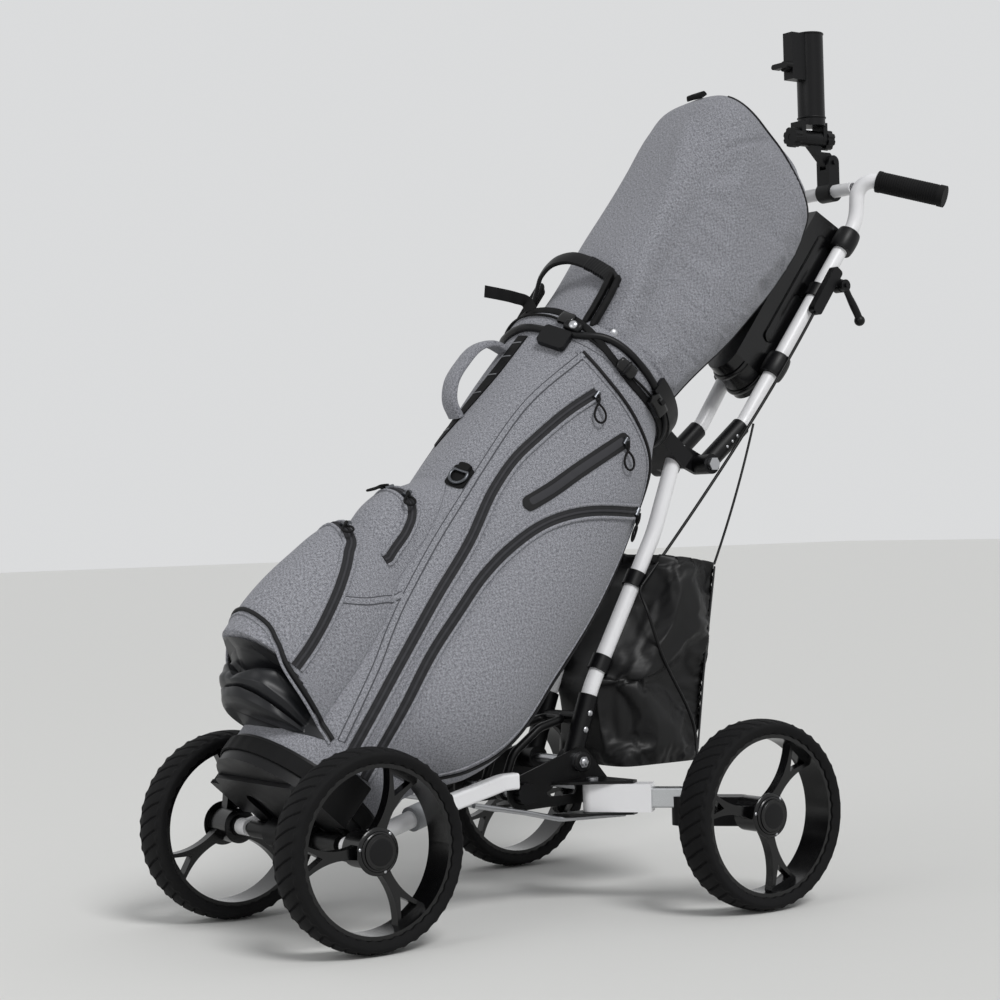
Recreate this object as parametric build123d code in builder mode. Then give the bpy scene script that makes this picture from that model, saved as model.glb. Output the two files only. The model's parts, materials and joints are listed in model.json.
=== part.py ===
"""Golf bag strapped on a folding four-wheel push cart.

Millimetres, +Z up. The cart faces -Y, and +X is its left side. Sizes are written from a point on the
ground midway between the four wheels. At the end every piece is moved so that the origin lies on the
ground under the middle of the whole box.
"""

import os
from math import atan2, cos, degrees, hypot, radians, sin, sqrt, tan

from build123d import *

os.makedirs("parts", exist_ok=True)

# Clearances
FIT = 0.15
RUNNING = 0.06
GAP = 0.3

# Wheels
WHEEL_R = 140
TYRE_WIDTH = 62
TYRE_DEPTH = 21
TYRE_CROWN = 4
TYRE_SHOULDER = 9
RIM_WIDTH = 50
RIM_WALL = 6
SPOKES = 3
SPOKE_THICK = 16
SPOKE_HUB_HALF = 13
SPOKE_WAIST_HALF = 9
SPOKE_RIM_HALF = 27
SPOKE_WALL = 7
HUB_R = 26
HUB_INNER = 30
HUB_OUTER = 24
HUB_CAP_R = 30
HUB_CAP_THICK = 8
HUB_CAP_TAPER = 20
HUB_END_WALL = 6
AXLE_R = 8
AXLE_SHOULDER_R = 15
AXLE_SHOULDER = 5
WHEELBASE = 606
FRONT_TRACK = 388
REAR_TRACK = 622

# Chassis
PLATE_INNER_X = 67.5
PLATE_THICK = 4
HUB_Y = 45
HUB_Z = WHEEL_R + 35
HUB_TUBE_R = 9
FOOT_Y = HUB_Y + 110
FOOT_Z = HUB_Z + 38
TAIL_Y = FOOT_Y + 37
TAIL_Z = HUB_Z - 3
PLATE_HUB_R = 26
PLATE_FOOT_R = 22
PLATE_TAIL_R = 20
PLATE_SLOT_LENGTH = 40
PLATE_SLOT_WIDTH = 16
PIVOT_BOLT_R = 7
PIVOT_HEAD_R = 15
PIVOT_HEAD_THICK = 7
HUB_KNOB_R = 17
HUB_KNOB_THICK = 14
KNURLS = 12
KNURL_R = 2.5

# Front arms
ARM_WIDTH = 20
ARM_HEIGHT = 24
ARM_WALL = 2.5
ARM_BEND = 60
STUB_R = 12.5
COLLAR_R = 18
COLLAR_LENGTH = 26
FRONT_BEAM_R = 13

# Rear arms
REAR_PIVOT_X = PLATE_INNER_X + PLATE_THICK + 22.5
REAR_PIVOT_Y = FOOT_Y + 5
REAR_PIN_R = 6
REAR_ARM_LENGTH = 92
REAR_ARM_HALF_INNER = 15
REAR_ARM_HALF_OUTER = 17
REAR_ARM_LOW = WHEEL_R
REAR_ARM_INNER_TOP = REAR_ARM_LOW + 30
REAR_ARM_OUTER_TOP = REAR_ARM_LOW + 42
INNER_TUBE_WIDTH = 24
INNER_TUBE_HEIGHT = 30
INNER_TUBE_LENGTH = 95
REAR_BLOCK_R = 18
REAR_BLOCK_LOW = WHEEL_R - 20
REAR_BLOCK_TOP = WHEEL_R + 23
GUSSET_THICK = 4
GUSSET_TIP = 62

# Uprights
TUBE_R = 12.5
TUBE_WALL = 2
UPRIGHT_X = 50
SLEEVE_R = 15.5
LOWER_SLEEVE_LENGTH = 104
UPRIGHT_TOP_Y = FOOT_Y + 229
UPRIGHT_TOP_Z = FOOT_Z + 482
UPRIGHT_BEND = 240

# Folding handle
FOLD_Y = UPRIGHT_TOP_Y + 55
FOLD_Z = UPRIGHT_TOP_Z - 32
FOLD_BOLT_R = 6
FOLD_HEAD_R = 11
EYE_R = 16
LUG_INNER_X = 28
LUG_THICK = 9.5
HANDLE_X = 53
UPPER_SLEEVE_LENGTH = 98
UPPER_SLEEVE_ANGLE = 38.4
HANDLE_TOP_X = HANDLE_X + 17
HANDLE_TOP_Y = FOLD_Y + 340
HANDLE_TOP_Z = FOLD_Z + 480
HANDLE_BENDS = [60, 70, 27]
GRIP_R = 16.5
GRIP_START = 37
GRIP_END_WALL = 5
CROSSBAR_R = 11
CROSSBAR_Z = HANDLE_TOP_Z - 17

# Golf bag
BAG_ANGLE = 48
BAG_FOOT_Y = -WHEELBASE / 2 - 21
BAG_FOOT_Z = WHEEL_R + 26
BAG_FLOOR = 15
BAG_SHELL_START = 21
BAG_SHELL_END = BAG_SHELL_START + 814
BAG_WHEEL_GAP = 68
BAG_FOOT_HALF_X = FRONT_TRACK / 2 - BAG_WHEEL_GAP
BAG_FOOT_HALF_W = 120
BAG_TOP_HALF_X, BAG_TOP_HALF_W = 142, 138
BAG_WALL = 5
BASE_HEIGHT = 58
CUFF_TOP = BAG_SHELL_END + 33
CUFF_STAND = 5
CUFF_LIP = 12
MOUTH_HALF_X = BAG_TOP_HALF_X - 28
MOUTH_HALF_W = BAG_TOP_HALF_W - 30
WEBBING = 3
CRADLE_PLATE = 6.4

# Storage bag
STORE_HALF_X = 92
STORE_LOW = FOOT_Z - 15
STORE_KNEE = STORE_LOW + 132
STORE_TOP = STORE_LOW + 307
STORE_TOP_DEPTH = 112
STORE_LOW_DEPTH = 166
STORE_ROUND = 12
STORE_WALL = 6

FRONT_AXLE_Y = -WHEELBASE / 2
REAR_AXLE_Y = WHEELBASE / 2
RIM_R = WHEEL_R - TYRE_DEPTH
PLATE_OUTER_X = PLATE_INNER_X + PLATE_THICK
AXLE_TIP = HUB_OUTER - HUB_END_WALL - GAP

pieces = {}


def across(x, y, z):
    """Plane at a point, facing along X, for pins and tubes that run from side to side."""
    return Plane(origin=(x, y, z), x_dir=(0, 1, 0), z_dir=(1, 0, 0))


def facing(start, end):
    """Plane at the start of a run, square to it."""
    return Plane(origin=start, z_dir=Vector(*end) - Vector(*start))


# Wheels


def wheel_plane(side, track, axle_y):
    """Plane in the middle of a wheel, facing out from the cart."""
    return Plane(origin=(side * track / 2, axle_y, WHEEL_R), x_dir=(0, side, 0), z_dir=(side, 0, 0))


def make_tyre(side, track, axle_y):
    """Foam tyre with a crowned tread and bevelled shoulders."""
    centre = (side * track / 2, axle_y, WHEEL_R)
    half = TYRE_WIDTH / 2
    shoulder = WHEEL_R - TYRE_SHOULDER
    edge = WHEEL_R - TYRE_CROWN
    with BuildPart() as tyre:
        with BuildSketch(Plane(origin=centre, x_dir=(1, 0, 0), z_dir=(0, -1, 0))):
            with BuildLine():
                ThreePointArc((-half + TYRE_SHOULDER, edge), (0, WHEEL_R), (half - TYRE_SHOULDER, edge))
                Polyline(
                    (half - TYRE_SHOULDER, edge),
                    (half, shoulder),
                    (half - TYRE_CROWN, RIM_R),
                    (-half + TYRE_CROWN, RIM_R),
                    (-half, shoulder),
                    (-half + TYRE_SHOULDER, edge),
                )
            make_face()
        revolve(axis=Axis(centre, (1, 0, 0)))
    return tyre.part


SPOKE_TIP = RIM_R - RIM_WALL
SPOKE_WAIST = (HUB_R + RIM_R) / 2
FORK_START = SPOKE_WAIST + SPOKE_WALL
FORK_END = RIM_R - RIM_WALL - SPOKE_WALL

with BuildSketch() as spoke:
    with BuildLine():
        Spline((HUB_R / 2, SPOKE_HUB_HALF), (SPOKE_WAIST, SPOKE_WAIST_HALF), (SPOKE_TIP, SPOKE_RIM_HALF))
        Line((SPOKE_TIP, SPOKE_RIM_HALF), (SPOKE_TIP, -SPOKE_RIM_HALF))
        Spline((SPOKE_TIP, -SPOKE_RIM_HALF), (SPOKE_WAIST, -SPOKE_WAIST_HALF), (HUB_R / 2, -SPOKE_HUB_HALF))
        Line((HUB_R / 2, -SPOKE_HUB_HALF), (HUB_R / 2, SPOKE_HUB_HALF))
    make_face()
    with BuildLine():
        Polyline(
            (FORK_START, 0),
            (FORK_END, SPOKE_RIM_HALF - 1.6 * SPOKE_WALL),
            (FORK_END, -SPOKE_RIM_HALF + 1.6 * SPOKE_WALL),
            close=True,
        )
    make_face(mode=Mode.SUBTRACT)


def make_rim(side, track, axle_y, turn):
    """Moulded rim: a plain ring, three forked spokes and a capped hub with a blind bore for the axle."""
    middle = wheel_plane(side, track, axle_y)
    with BuildPart() as rim:
        with BuildSketch(middle.offset(-RIM_WIDTH / 2)):
            Circle(RIM_R - FIT)
            Circle(RIM_R - RIM_WALL, mode=Mode.SUBTRACT)
        extrude(amount=RIM_WIDTH)
        with BuildSketch(middle.offset(-SPOKE_THICK / 2)):
            with PolarLocations(0, SPOKES, start_angle=turn):
                add(spoke.sketch)
        extrude(amount=SPOKE_THICK)
        with BuildSketch(middle.offset(-HUB_INNER)):
            Circle(HUB_R)
        extrude(amount=HUB_INNER + HUB_OUTER)
        with BuildSketch(middle.offset(HUB_OUTER - HUB_CAP_THICK)):
            Circle(HUB_CAP_R)
        extrude(amount=HUB_CAP_THICK / 2)
        with BuildSketch(middle.offset(HUB_OUTER)):
            Circle(HUB_R - GAP)
        extrude(amount=HUB_CAP_THICK / 2, taper=HUB_CAP_TAPER)
        with BuildSketch(middle.offset(-HUB_INNER)):
            Circle(AXLE_R + RUNNING)
        extrude(amount=HUB_INNER + HUB_OUTER - HUB_END_WALL, mode=Mode.SUBTRACT)
    return rim.part


WHEELS = {
    "front_left": (1, FRONT_TRACK, FRONT_AXLE_Y, 62),
    "front_right": (-1, FRONT_TRACK, FRONT_AXLE_Y, 90),
    "rear_left": (1, REAR_TRACK, REAR_AXLE_Y, 48),
    "rear_right": (-1, REAR_TRACK, REAR_AXLE_Y, 80),
}
for name, (side, track, axle_y, turn) in WHEELS.items():
    pieces[f"{name}_tyre"] = make_tyre(side, track, axle_y)
    pieces[f"{name}_rim"] = make_rim(side, track, axle_y, turn)

# Front axle beam, with a shoulder for each wheel

FRONT_SHOULDER_X = FRONT_TRACK / 2 - HUB_INNER - GAP - AXLE_SHOULDER / 2
FRONT_EYE_X = FRONT_SHOULDER_X - AXLE_SHOULDER / 2 - STUB_R
with BuildPart() as front_axle:
    with Locations(across(0, FRONT_AXLE_Y, WHEEL_R)):
        Cylinder(AXLE_R, FRONT_TRACK + 2 * AXLE_TIP)
        Cylinder(FRONT_BEAM_R, 2 * (FRONT_EYE_X - 2 * STUB_R))
    for side in (-1, 1):
        with Locations(across(side * FRONT_SHOULDER_X, FRONT_AXLE_Y, WHEEL_R)):
            Cylinder(AXLE_SHOULDER_R, AXLE_SHOULDER)
pieces["front_axle"] = front_axle.part

# Chassis: two side plates, tied by the hub tube and the tail tube

with BuildPart() as side_plates:
    with BuildSketch(across(PLATE_INNER_X, 0, 0)):
        with Locations((HUB_Y, HUB_Z)):
            Circle(PLATE_HUB_R)
        with Locations((FOOT_Y, FOOT_Z)):
            Circle(PLATE_FOOT_R)
        with Locations((TAIL_Y, TAIL_Z)):
            Circle(PLATE_TAIL_R)
        make_hull()
        with Locations((HUB_Y, HUB_Z), (TAIL_Y, TAIL_Z)):
            Circle(HUB_TUBE_R + FIT, mode=Mode.SUBTRACT)
        with Locations((FOOT_Y, FOOT_Z)):
            Circle(PIVOT_BOLT_R + FIT, mode=Mode.SUBTRACT)
        with Locations(((HUB_Y + TAIL_Y) / 2, (HUB_Z + TAIL_Z) / 2)):
            SlotCenterToCenter(PLATE_SLOT_LENGTH, PLATE_SLOT_WIDTH, mode=Mode.SUBTRACT)
    extrude(amount=PLATE_THICK)
    mirror(about=Plane.YZ)
pieces["chassis_side_plates"] = side_plates.part

with BuildPart() as hub_knobs:
    with BuildSketch(across(PLATE_OUTER_X, HUB_Y, HUB_Z)):
        Circle(HUB_KNOB_R)
        with PolarLocations(HUB_KNOB_R + 1, KNURLS):
            Circle(KNURL_R, mode=Mode.SUBTRACT)
    extrude(amount=HUB_KNOB_THICK)
    mirror(about=Plane.YZ)
pieces["hub_knobs"] = hub_knobs.part

# Front arms: a box tube outside each plate, a grey collar and a round stub to the axle

ARM_X = PLATE_OUTER_X + ARM_WIDTH / 2
ARM_TOP_Z = HUB_Z + 21
ARM_START = (ARM_X, HUB_Y - HUB_KNOB_R - 2, ARM_TOP_Z)
ARM_KNEE = (ARM_X, HUB_Y - 43, ARM_TOP_Z)
ARM_END = (FRONT_EYE_X - 24, FRONT_AXLE_Y + 137, WHEEL_R + 30)
STUB_END = (FRONT_EYE_X, FRONT_AXLE_Y, WHEEL_R)
with BuildPart() as front_arms:
    with BuildLine():
        FilletPolyline(ARM_START, ARM_KNEE, ARM_END, radius=ARM_BEND)
    with BuildSketch(Plane(origin=ARM_START, x_dir=(1, 0, 0), z_dir=(0, -1, 0))):
        RectangleRounded(ARM_WIDTH, ARM_HEIGHT, 4)
        RectangleRounded(ARM_WIDTH - 2 * ARM_WALL, ARM_HEIGHT - 2 * ARM_WALL, 1.5, mode=Mode.SUBTRACT)
    sweep()
    mirror(about=Plane.YZ)
pieces["front_arms"] = front_arms.part

STUB_DIRECTION = (Vector(*STUB_END) - Vector(*ARM_END)).normalized()
STUB_START = Vector(*ARM_END) + STUB_DIRECTION * COLLAR_LENGTH
with BuildPart() as collars:
    with BuildSketch(facing(ARM_END, STUB_END).offset(-COLLAR_LENGTH / 2)):
        Circle(COLLAR_R)
    extrude(amount=1.5 * COLLAR_LENGTH)
    split(bisect_by=Plane(origin=ARM_END, z_dir=Vector(*ARM_END) - Vector(*ARM_KNEE)), keep=Keep.TOP)
    mirror(about=Plane.YZ)
pieces["front_arm_collars"] = collars.part

with BuildPart() as stubs:
    with BuildSketch(Plane(origin=STUB_START, z_dir=STUB_DIRECTION)):
        Circle(STUB_R)
    extrude(amount=(Vector(*STUB_END) - STUB_START).length)
    with Locations(across(FRONT_EYE_X, FRONT_AXLE_Y, WHEEL_R)):
        Cylinder(STUB_R, 2 * STUB_R)
        Cylinder(AXLE_R + FIT, 4 * STUB_R, mode=Mode.SUBTRACT)
    mirror(about=Plane.YZ)
pieces["front_stubs"] = stubs.part

# Rear arms: each swings on an upright pin between two gussets

GUSSET_TOP_Z = REAR_ARM_OUTER_TOP + 2 * GAP
GUSSET_LOW_Z = REAR_ARM_LOW - 2 * GAP - GUSSET_THICK
REAR_BLOCK_X = REAR_TRACK / 2 - HUB_INNER - GAP - REAR_BLOCK_R - AXLE_SHOULDER
REAR_SWEEP = degrees(atan2(REAR_AXLE_Y - REAR_PIVOT_Y, REAR_BLOCK_X - REAR_PIVOT_X))
REAR_REACH = hypot(REAR_AXLE_Y - REAR_PIVOT_Y, REAR_BLOCK_X - REAR_PIVOT_X)
TIP_X = REAR_PIVOT_X + GUSSET_TIP * cos(radians(REAR_SWEEP))
TIP_Y = REAR_PIVOT_Y + GUSSET_TIP * sin(radians(REAR_SWEEP))
with BuildPart() as gussets:
    for height in (GUSSET_LOW_Z, GUSSET_TOP_Z):
        with BuildSketch(Plane.XY.offset(height)):
            with BuildLine():
                Polyline(
                    (PLATE_OUTER_X, HUB_Y + 55),
                    (REAR_PIVOT_X, HUB_Y + 70),
                    (TIP_X + 8, TIP_Y - 6),
                    (TIP_X, TIP_Y + 8),
                    (PLATE_OUTER_X, TAIL_Y + 10),
                    close=True,
                )
            make_face()
            with Locations((REAR_PIVOT_X, REAR_PIVOT_Y)):
                Circle(REAR_PIN_R + FIT, mode=Mode.SUBTRACT)
        extrude(amount=GUSSET_THICK)
    mirror(about=Plane.YZ)
pieces["chassis_gussets"] = gussets.part


def rear_plane(side, height, along=0):
    """Plane over a rear pivot whose x runs out along the arm."""
    sweep_angle = radians(REAR_SWEEP)
    run = Vector(side * cos(sweep_angle), sin(sweep_angle), 0)
    pivot = Vector(side * REAR_PIVOT_X, REAR_PIVOT_Y, height)
    return Plane(origin=pivot + run * along, x_dir=run, z_dir=(0, 0, 1))


def make_rear_arm(side):
    """White arm: a tapered box, higher at its outer end, hollow for the inner tube."""
    flat = rear_plane(side, REAR_ARM_LOW)
    upright = Plane(origin=flat.origin, x_dir=flat.x_dir, z_dir=flat.y_dir)
    tall = REAR_ARM_OUTER_TOP - REAR_ARM_LOW
    short = REAR_ARM_INNER_TOP - REAR_ARM_LOW
    rise = 0.55 * REAR_ARM_LENGTH
    with BuildPart() as arm:
        with BuildSketch(flat):
            with BuildLine():
                Polyline(
                    (0, REAR_ARM_HALF_INNER),
                    (REAR_ARM_LENGTH, REAR_ARM_HALF_OUTER),
                    (REAR_ARM_LENGTH, -REAR_ARM_HALF_OUTER),
                    (0, -REAR_ARM_HALF_INNER),
                )
                ThreePointArc((0, -REAR_ARM_HALF_INNER), (-REAR_ARM_HALF_INNER, 0), (0, REAR_ARM_HALF_INNER))
            make_face()
            Circle(REAR_PIN_R + RUNNING, mode=Mode.SUBTRACT)
        extrude(amount=tall)
        with BuildSketch(upright.offset(-REAR_ARM_HALF_OUTER - 1)):
            with BuildLine():
                Polyline(
                    (-REAR_ARM_HALF_INNER - 1, short),
                    (0.25 * REAR_ARM_LENGTH, short),
                    (rise, tall),
                    (rise, tall + 1),
                    (-REAR_ARM_HALF_INNER - 1, tall + 1),
                    close=True,
                )
            make_face()
        extrude(amount=2 * REAR_ARM_HALF_OUTER + 2, both=True, mode=Mode.SUBTRACT)
        with BuildSketch(Plane(origin=inner_tube_seat(side), x_dir=flat.y_dir, z_dir=flat.x_dir)):
            Rectangle(INNER_TUBE_WIDTH + 2 * FIT, INNER_TUBE_HEIGHT + 2 * FIT)
        extrude(amount=REAR_ARM_LENGTH, mode=Mode.SUBTRACT)
    return arm.part


INNER_TUBE_START = 0.6 * REAR_ARM_LENGTH
INNER_TUBE_Z = (REAR_ARM_LOW + REAR_ARM_OUTER_TOP) / 2


def inner_tube_seat(side):
    """Point in the arm where its inner tube starts."""
    return rear_plane(side, INNER_TUBE_Z, INNER_TUBE_START).origin


def make_inner_tube(side):
    """Bare aluminium box tube that slides in the white arm."""
    flat = rear_plane(side, INNER_TUBE_Z)
    with BuildPart() as tube:
        with BuildSketch(Plane(origin=inner_tube_seat(side), x_dir=flat.y_dir, z_dir=flat.x_dir)):
            RectangleRounded(INNER_TUBE_WIDTH, INNER_TUBE_HEIGHT, 3)
            RectangleRounded(INNER_TUBE_WIDTH - 4, INNER_TUBE_HEIGHT - 4, 1.5, mode=Mode.SUBTRACT)
        extrude(amount=INNER_TUBE_LENGTH)
    return tube.part


def make_rear_block(side):
    """Black end block of the rear arm, with the stub axle and its shoulder."""
    flat = rear_plane(side, REAR_BLOCK_LOW)
    socket = REAR_REACH - INNER_TUBE_START - INNER_TUBE_LENGTH
    shoulder_x = REAR_TRACK / 2 - HUB_INNER - GAP - AXLE_SHOULDER / 2
    tip_x = REAR_TRACK / 2 + AXLE_TIP
    with BuildPart() as block:
        with BuildSketch(flat):
            with Locations((REAR_REACH, 0), (REAR_REACH - socket - 12, 0)):
                Circle(REAR_BLOCK_R)
            make_hull()
        extrude(amount=REAR_BLOCK_TOP - REAR_BLOCK_LOW)
        with BuildSketch(Plane(origin=inner_tube_seat(side), x_dir=flat.y_dir, z_dir=flat.x_dir)):
            Rectangle(INNER_TUBE_WIDTH + 2 * FIT, INNER_TUBE_HEIGHT + 2 * FIT)
        extrude(amount=INNER_TUBE_LENGTH, mode=Mode.SUBTRACT)
        with Locations(across(side * (REAR_BLOCK_X + tip_x) / 2, REAR_AXLE_Y, WHEEL_R)):
            Cylinder(AXLE_R, tip_x - REAR_BLOCK_X)
        with Locations(across(side * shoulder_x, REAR_AXLE_Y, WHEEL_R)):
            Cylinder(AXLE_SHOULDER_R, AXLE_SHOULDER)
    return block.part


for name, side in (("left", 1), ("right", -1)):
    pieces[f"rear_arm_{name}"] = make_rear_arm(side)
    pieces[f"rear_inner_tube_{name}"] = make_inner_tube(side)
    pieces[f"rear_axle_block_{name}"] = make_rear_block(side)

# Steel rods of the chassis: the hub tube, the tail tube and a tie rod under each side

ROD_R = 4
ROD_LOW_Z = GUSSET_LOW_Z - ROD_R
with BuildPart() as chassis_rods:
    rod_points = [
        (ARM_X + 16, HUB_Y - 107, HUB_Z - 6),
        (PLATE_OUTER_X + 10, HUB_Y - 6, HUB_Z - HUB_KNOB_R - ROD_R - 6),
        (PLATE_OUTER_X + 10, HUB_Y + 62, ROD_LOW_Z),
        (TIP_X - 36, TIP_Y + 12, ROD_LOW_Z),
    ]
    with BuildLine():
        FilletPolyline(*rod_points, radius=40)
    with BuildSketch(facing(rod_points[0], rod_points[1])):
        Circle(ROD_R)
    sweep()
    mirror(about=Plane.YZ)
    with Locations(across(0, HUB_Y, HUB_Z), across(0, TAIL_Y, TAIL_Z)):
        Cylinder(HUB_TUBE_R, 2 * PLATE_OUTER_X)
pieces["chassis_rods"] = chassis_rods.part

# Uprights: lower sleeves on the foot bolt, then white tubes with a gentle S

SLEEVE_TOP = (UPRIGHT_X, FOOT_Y + 42, FOOT_Z + 111)
UPRIGHT_KNEE = (UPRIGHT_X, FOOT_Y + 175, FOOT_Z + 343)
UPRIGHT_TOP = (UPRIGHT_X, UPRIGHT_TOP_Y, UPRIGHT_TOP_Z)
FOOT = (UPRIGHT_X, FOOT_Y, FOOT_Z)
SLEEVE_RUN = (Vector(*SLEEVE_TOP) - Vector(*FOOT)).normalized()
UPRIGHT_START = Vector(*FOOT) + SLEEVE_RUN * 24
SPACER = Vector(*FOOT) + SLEEVE_RUN * 67
SPACER_R = 10
with BuildPart() as lower_sleeves:
    with Locations(across(UPRIGHT_X, FOOT_Y, FOOT_Z)):
        Cylinder(SLEEVE_R + 2, 2 * SLEEVE_R)
    with BuildSketch(Plane(origin=FOOT, z_dir=SLEEVE_RUN)):
        Circle(SLEEVE_R)
    extrude(amount=LOWER_SLEEVE_LENGTH)
    mirror(about=Plane.YZ)
    with Locations(across(0, SPACER.Y, SPACER.Z)):
        Cylinder(SPACER_R, 2 * UPRIGHT_X)
    with BuildSketch(Plane(origin=UPRIGHT_START, z_dir=SLEEVE_RUN)):
        Circle(TUBE_R + FIT)
    extrude(amount=LOWER_SLEEVE_LENGTH, mode=Mode.SUBTRACT)
    with BuildSketch(Plane(origin=(-UPRIGHT_START.X, UPRIGHT_START.Y, UPRIGHT_START.Z), z_dir=SLEEVE_RUN)):
        Circle(TUBE_R + FIT)
    extrude(amount=LOWER_SLEEVE_LENGTH, mode=Mode.SUBTRACT)
    with Locations(across(0, FOOT_Y, FOOT_Z)):
        Cylinder(PIVOT_BOLT_R + FIT, 4 * UPRIGHT_X, mode=Mode.SUBTRACT)
pieces["lower_sleeves"] = lower_sleeves.part

with BuildPart() as uprights:
    with BuildLine():
        FilletPolyline(UPRIGHT_START, SLEEVE_TOP, UPRIGHT_KNEE, UPRIGHT_TOP, radius=UPRIGHT_BEND)
    with BuildSketch(Plane(origin=UPRIGHT_START, z_dir=SLEEVE_RUN)):
        Circle(TUBE_R)
        Circle(TUBE_R - TUBE_WALL, mode=Mode.SUBTRACT)
    sweep()
    mirror(about=Plane.YZ)
pieces["uprights"] = uprights.part

# Locking bail: a bent bar that hangs on the hub tube and rests against the sleeves' spacer

BAIL_R = 6.5
BAIL_X = 25
BAIL_TOP_Y = SPACER.Y - SPACER_R - BAIL_R - GAP
with BuildPart() as bail:
    leg = [
        (BAIL_X, HUB_Y, HUB_Z + HUB_TUBE_R),
        (BAIL_X, HUB_Y + 18, HUB_Z + 54),
        (BAIL_X, HUB_Y + 70, HUB_Z + 90),
        (BAIL_X, BAIL_TOP_Y, SPACER.Z),
    ]
    with BuildLine():
        FilletPolyline(*leg, *[(-x, y, z) for x, y, z in reversed(leg)], radius=[40, 40, 15, 15, 40, 40])
    with BuildSketch(facing(leg[0], leg[1])):
        Circle(BAIL_R)
    sweep()
    for side in (-1, 1):
        with Locations(across(side * BAIL_X, HUB_Y, HUB_Z)):
            Cylinder(HUB_TUBE_R + 5, 2 * BAIL_R)
    with Locations(across(0, HUB_Y, HUB_Z)):
        Cylinder(HUB_TUBE_R + RUNNING, 4 * BAIL_X, mode=Mode.SUBTRACT)
pieces["locking_bail"] = bail.part

# Golf bag: everything on it is placed in a frame that runs up its axis

BAG_RUN = Vector(0, cos(radians(BAG_ANGLE)), sin(radians(BAG_ANGLE)))
BAG = Plane(origin=(0, BAG_FOOT_Y, BAG_FOOT_Z), x_dir=(1, 0, 0), z_dir=BAG_RUN)
SIDE = Plane(origin=(0, BAG_FOOT_Y, BAG_FOOT_Z), x_dir=BAG_RUN, z_dir=(1, 0, 0))


def shell_half(along):
    """Half width and half depth of the bag's shell at a height along its axis."""
    share = (along - BAG_SHELL_START) / (BAG_SHELL_END - BAG_SHELL_START)
    half_x = BAG_FOOT_HALF_X + share * (BAG_TOP_HALF_X - BAG_FOOT_HALF_X)
    half_w = BAG_FOOT_HALF_W + share * (BAG_TOP_HALF_W - BAG_FOOT_HALF_W)
    return half_x, half_w


def make_sleeve(low, high, inner, outer):
    """Band of the bag's own section, from inner to outer beyond the shell's surface."""
    with BuildPart() as band:
        for grow, mode in ((outer, Mode.ADD), (inner, Mode.SUBTRACT)):
            for along in (low, high):
                half_x, half_w = shell_half(along)
                with BuildSketch(BAG.offset(along)):
                    Ellipse(half_x + grow, half_w + grow)
            loft(mode=mode)
    return band.part


with BuildPart() as shell_body:
    for along in (BAG_SHELL_START, BAG_SHELL_END):
        with BuildSketch(BAG.offset(along)):
            Ellipse(*shell_half(along))
    loft()

with BuildPart() as shell:
    add(shell_body.part)
    for along in (BAG_SHELL_START + BAG_WALL, BAG_SHELL_END):
        half_x, half_w = shell_half(along)
        with BuildSketch(BAG.offset(along)):
            Ellipse(half_x - BAG_WALL, half_w - BAG_WALL)
    loft(mode=Mode.SUBTRACT)
pieces["bag_shell"] = shell.part

with BuildPart() as base:
    for along in (BAG_FLOOR, BASE_HEIGHT):
        half_x, half_w = shell_half(along)
        with BuildSketch(BAG.offset(along)):
            Ellipse(half_x + WEBBING, half_w + WEBBING)
    loft()
    add(shell_body.part, mode=Mode.SUBTRACT)
pieces["bag_base"] = base.part

with BuildPart() as cuff:
    with BuildSketch(BAG.offset(BAG_SHELL_END)):
        Ellipse(BAG_TOP_HALF_X + CUFF_STAND, BAG_TOP_HALF_W + CUFF_STAND)
        Ellipse(BAG_TOP_HALF_X - 2 * BAG_WALL, BAG_TOP_HALF_W - 2 * BAG_WALL, mode=Mode.SUBTRACT)
    extrude(amount=CUFF_TOP - BAG_SHELL_END)
    with BuildSketch(BAG.offset(CUFF_TOP - CUFF_LIP)):
        Ellipse(BAG_TOP_HALF_X, BAG_TOP_HALF_W)
        Ellipse(MOUTH_HALF_X, MOUTH_HALF_W, mode=Mode.SUBTRACT)
    extrude(amount=CUFF_LIP)
pieces["bag_cuff"] = cuff.part

# Club divider: one bar across the mouth and one from it to the front

DIVIDER_BAR = 9
DIVIDER_Y = -22
with BuildPart() as divider:
    with BuildSketch(BAG.offset(CUFF_TOP - CUFF_LIP - 28)):
        with Locations((0, DIVIDER_Y)):
            Rectangle(4 * BAG_TOP_HALF_X, DIVIDER_BAR)
        with Locations((0, DIVIDER_Y - BAG_TOP_HALF_W)):
            Rectangle(DIVIDER_BAR, 2 * BAG_TOP_HALF_W)
        Ellipse(BAG_TOP_HALF_X - 2 * BAG_WALL - GAP, BAG_TOP_HALF_W - 2 * BAG_WALL - GAP, mode=Mode.INTERSECT)
    extrude(amount=28)
    add(shell.part, mode=Mode.SUBTRACT)
pieces["club_divider"] = divider.part


def make_pocket(stations, cut, side=0):
    """Soft pocket: a loft through ellipses of (along, centre x, centre out, half x, half out).

    A pocket of one side, 1 or -1, ends short of the bag's middle plane.
    """
    with BuildPart() as pocket:
        for along, centre_x, centre_out, half_x, half_out in stations:
            with BuildSketch(BAG.offset(along)):
                with Locations((centre_x, -centre_out)):
                    Ellipse(half_x, half_out)
        loft()
        if side:
            split(bisect_by=Plane.YZ.offset(side * GAP), keep=Keep.TOP if side > 0 else Keep.BOTTOM)
        for body in cut:
            add(body, mode=Mode.SUBTRACT)
    return pocket.part.solids().sort_by(SortBy.VOLUME)[-1]


def side_stations(side):
    """Stations of a side pocket, fullest near the bag's foot and towards its rear."""
    return (
        (146, side * 62, -60, 62, 70),
        (230, side * 74, -74, 82, 102),
        (400, side * 76, -78, 88, 112),
        (560, side * 75, -72, 87, 108),
        (690, side * 72, -56, 82, 98),
        (796, side * 66, -40, 75, 86),
    )


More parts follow.
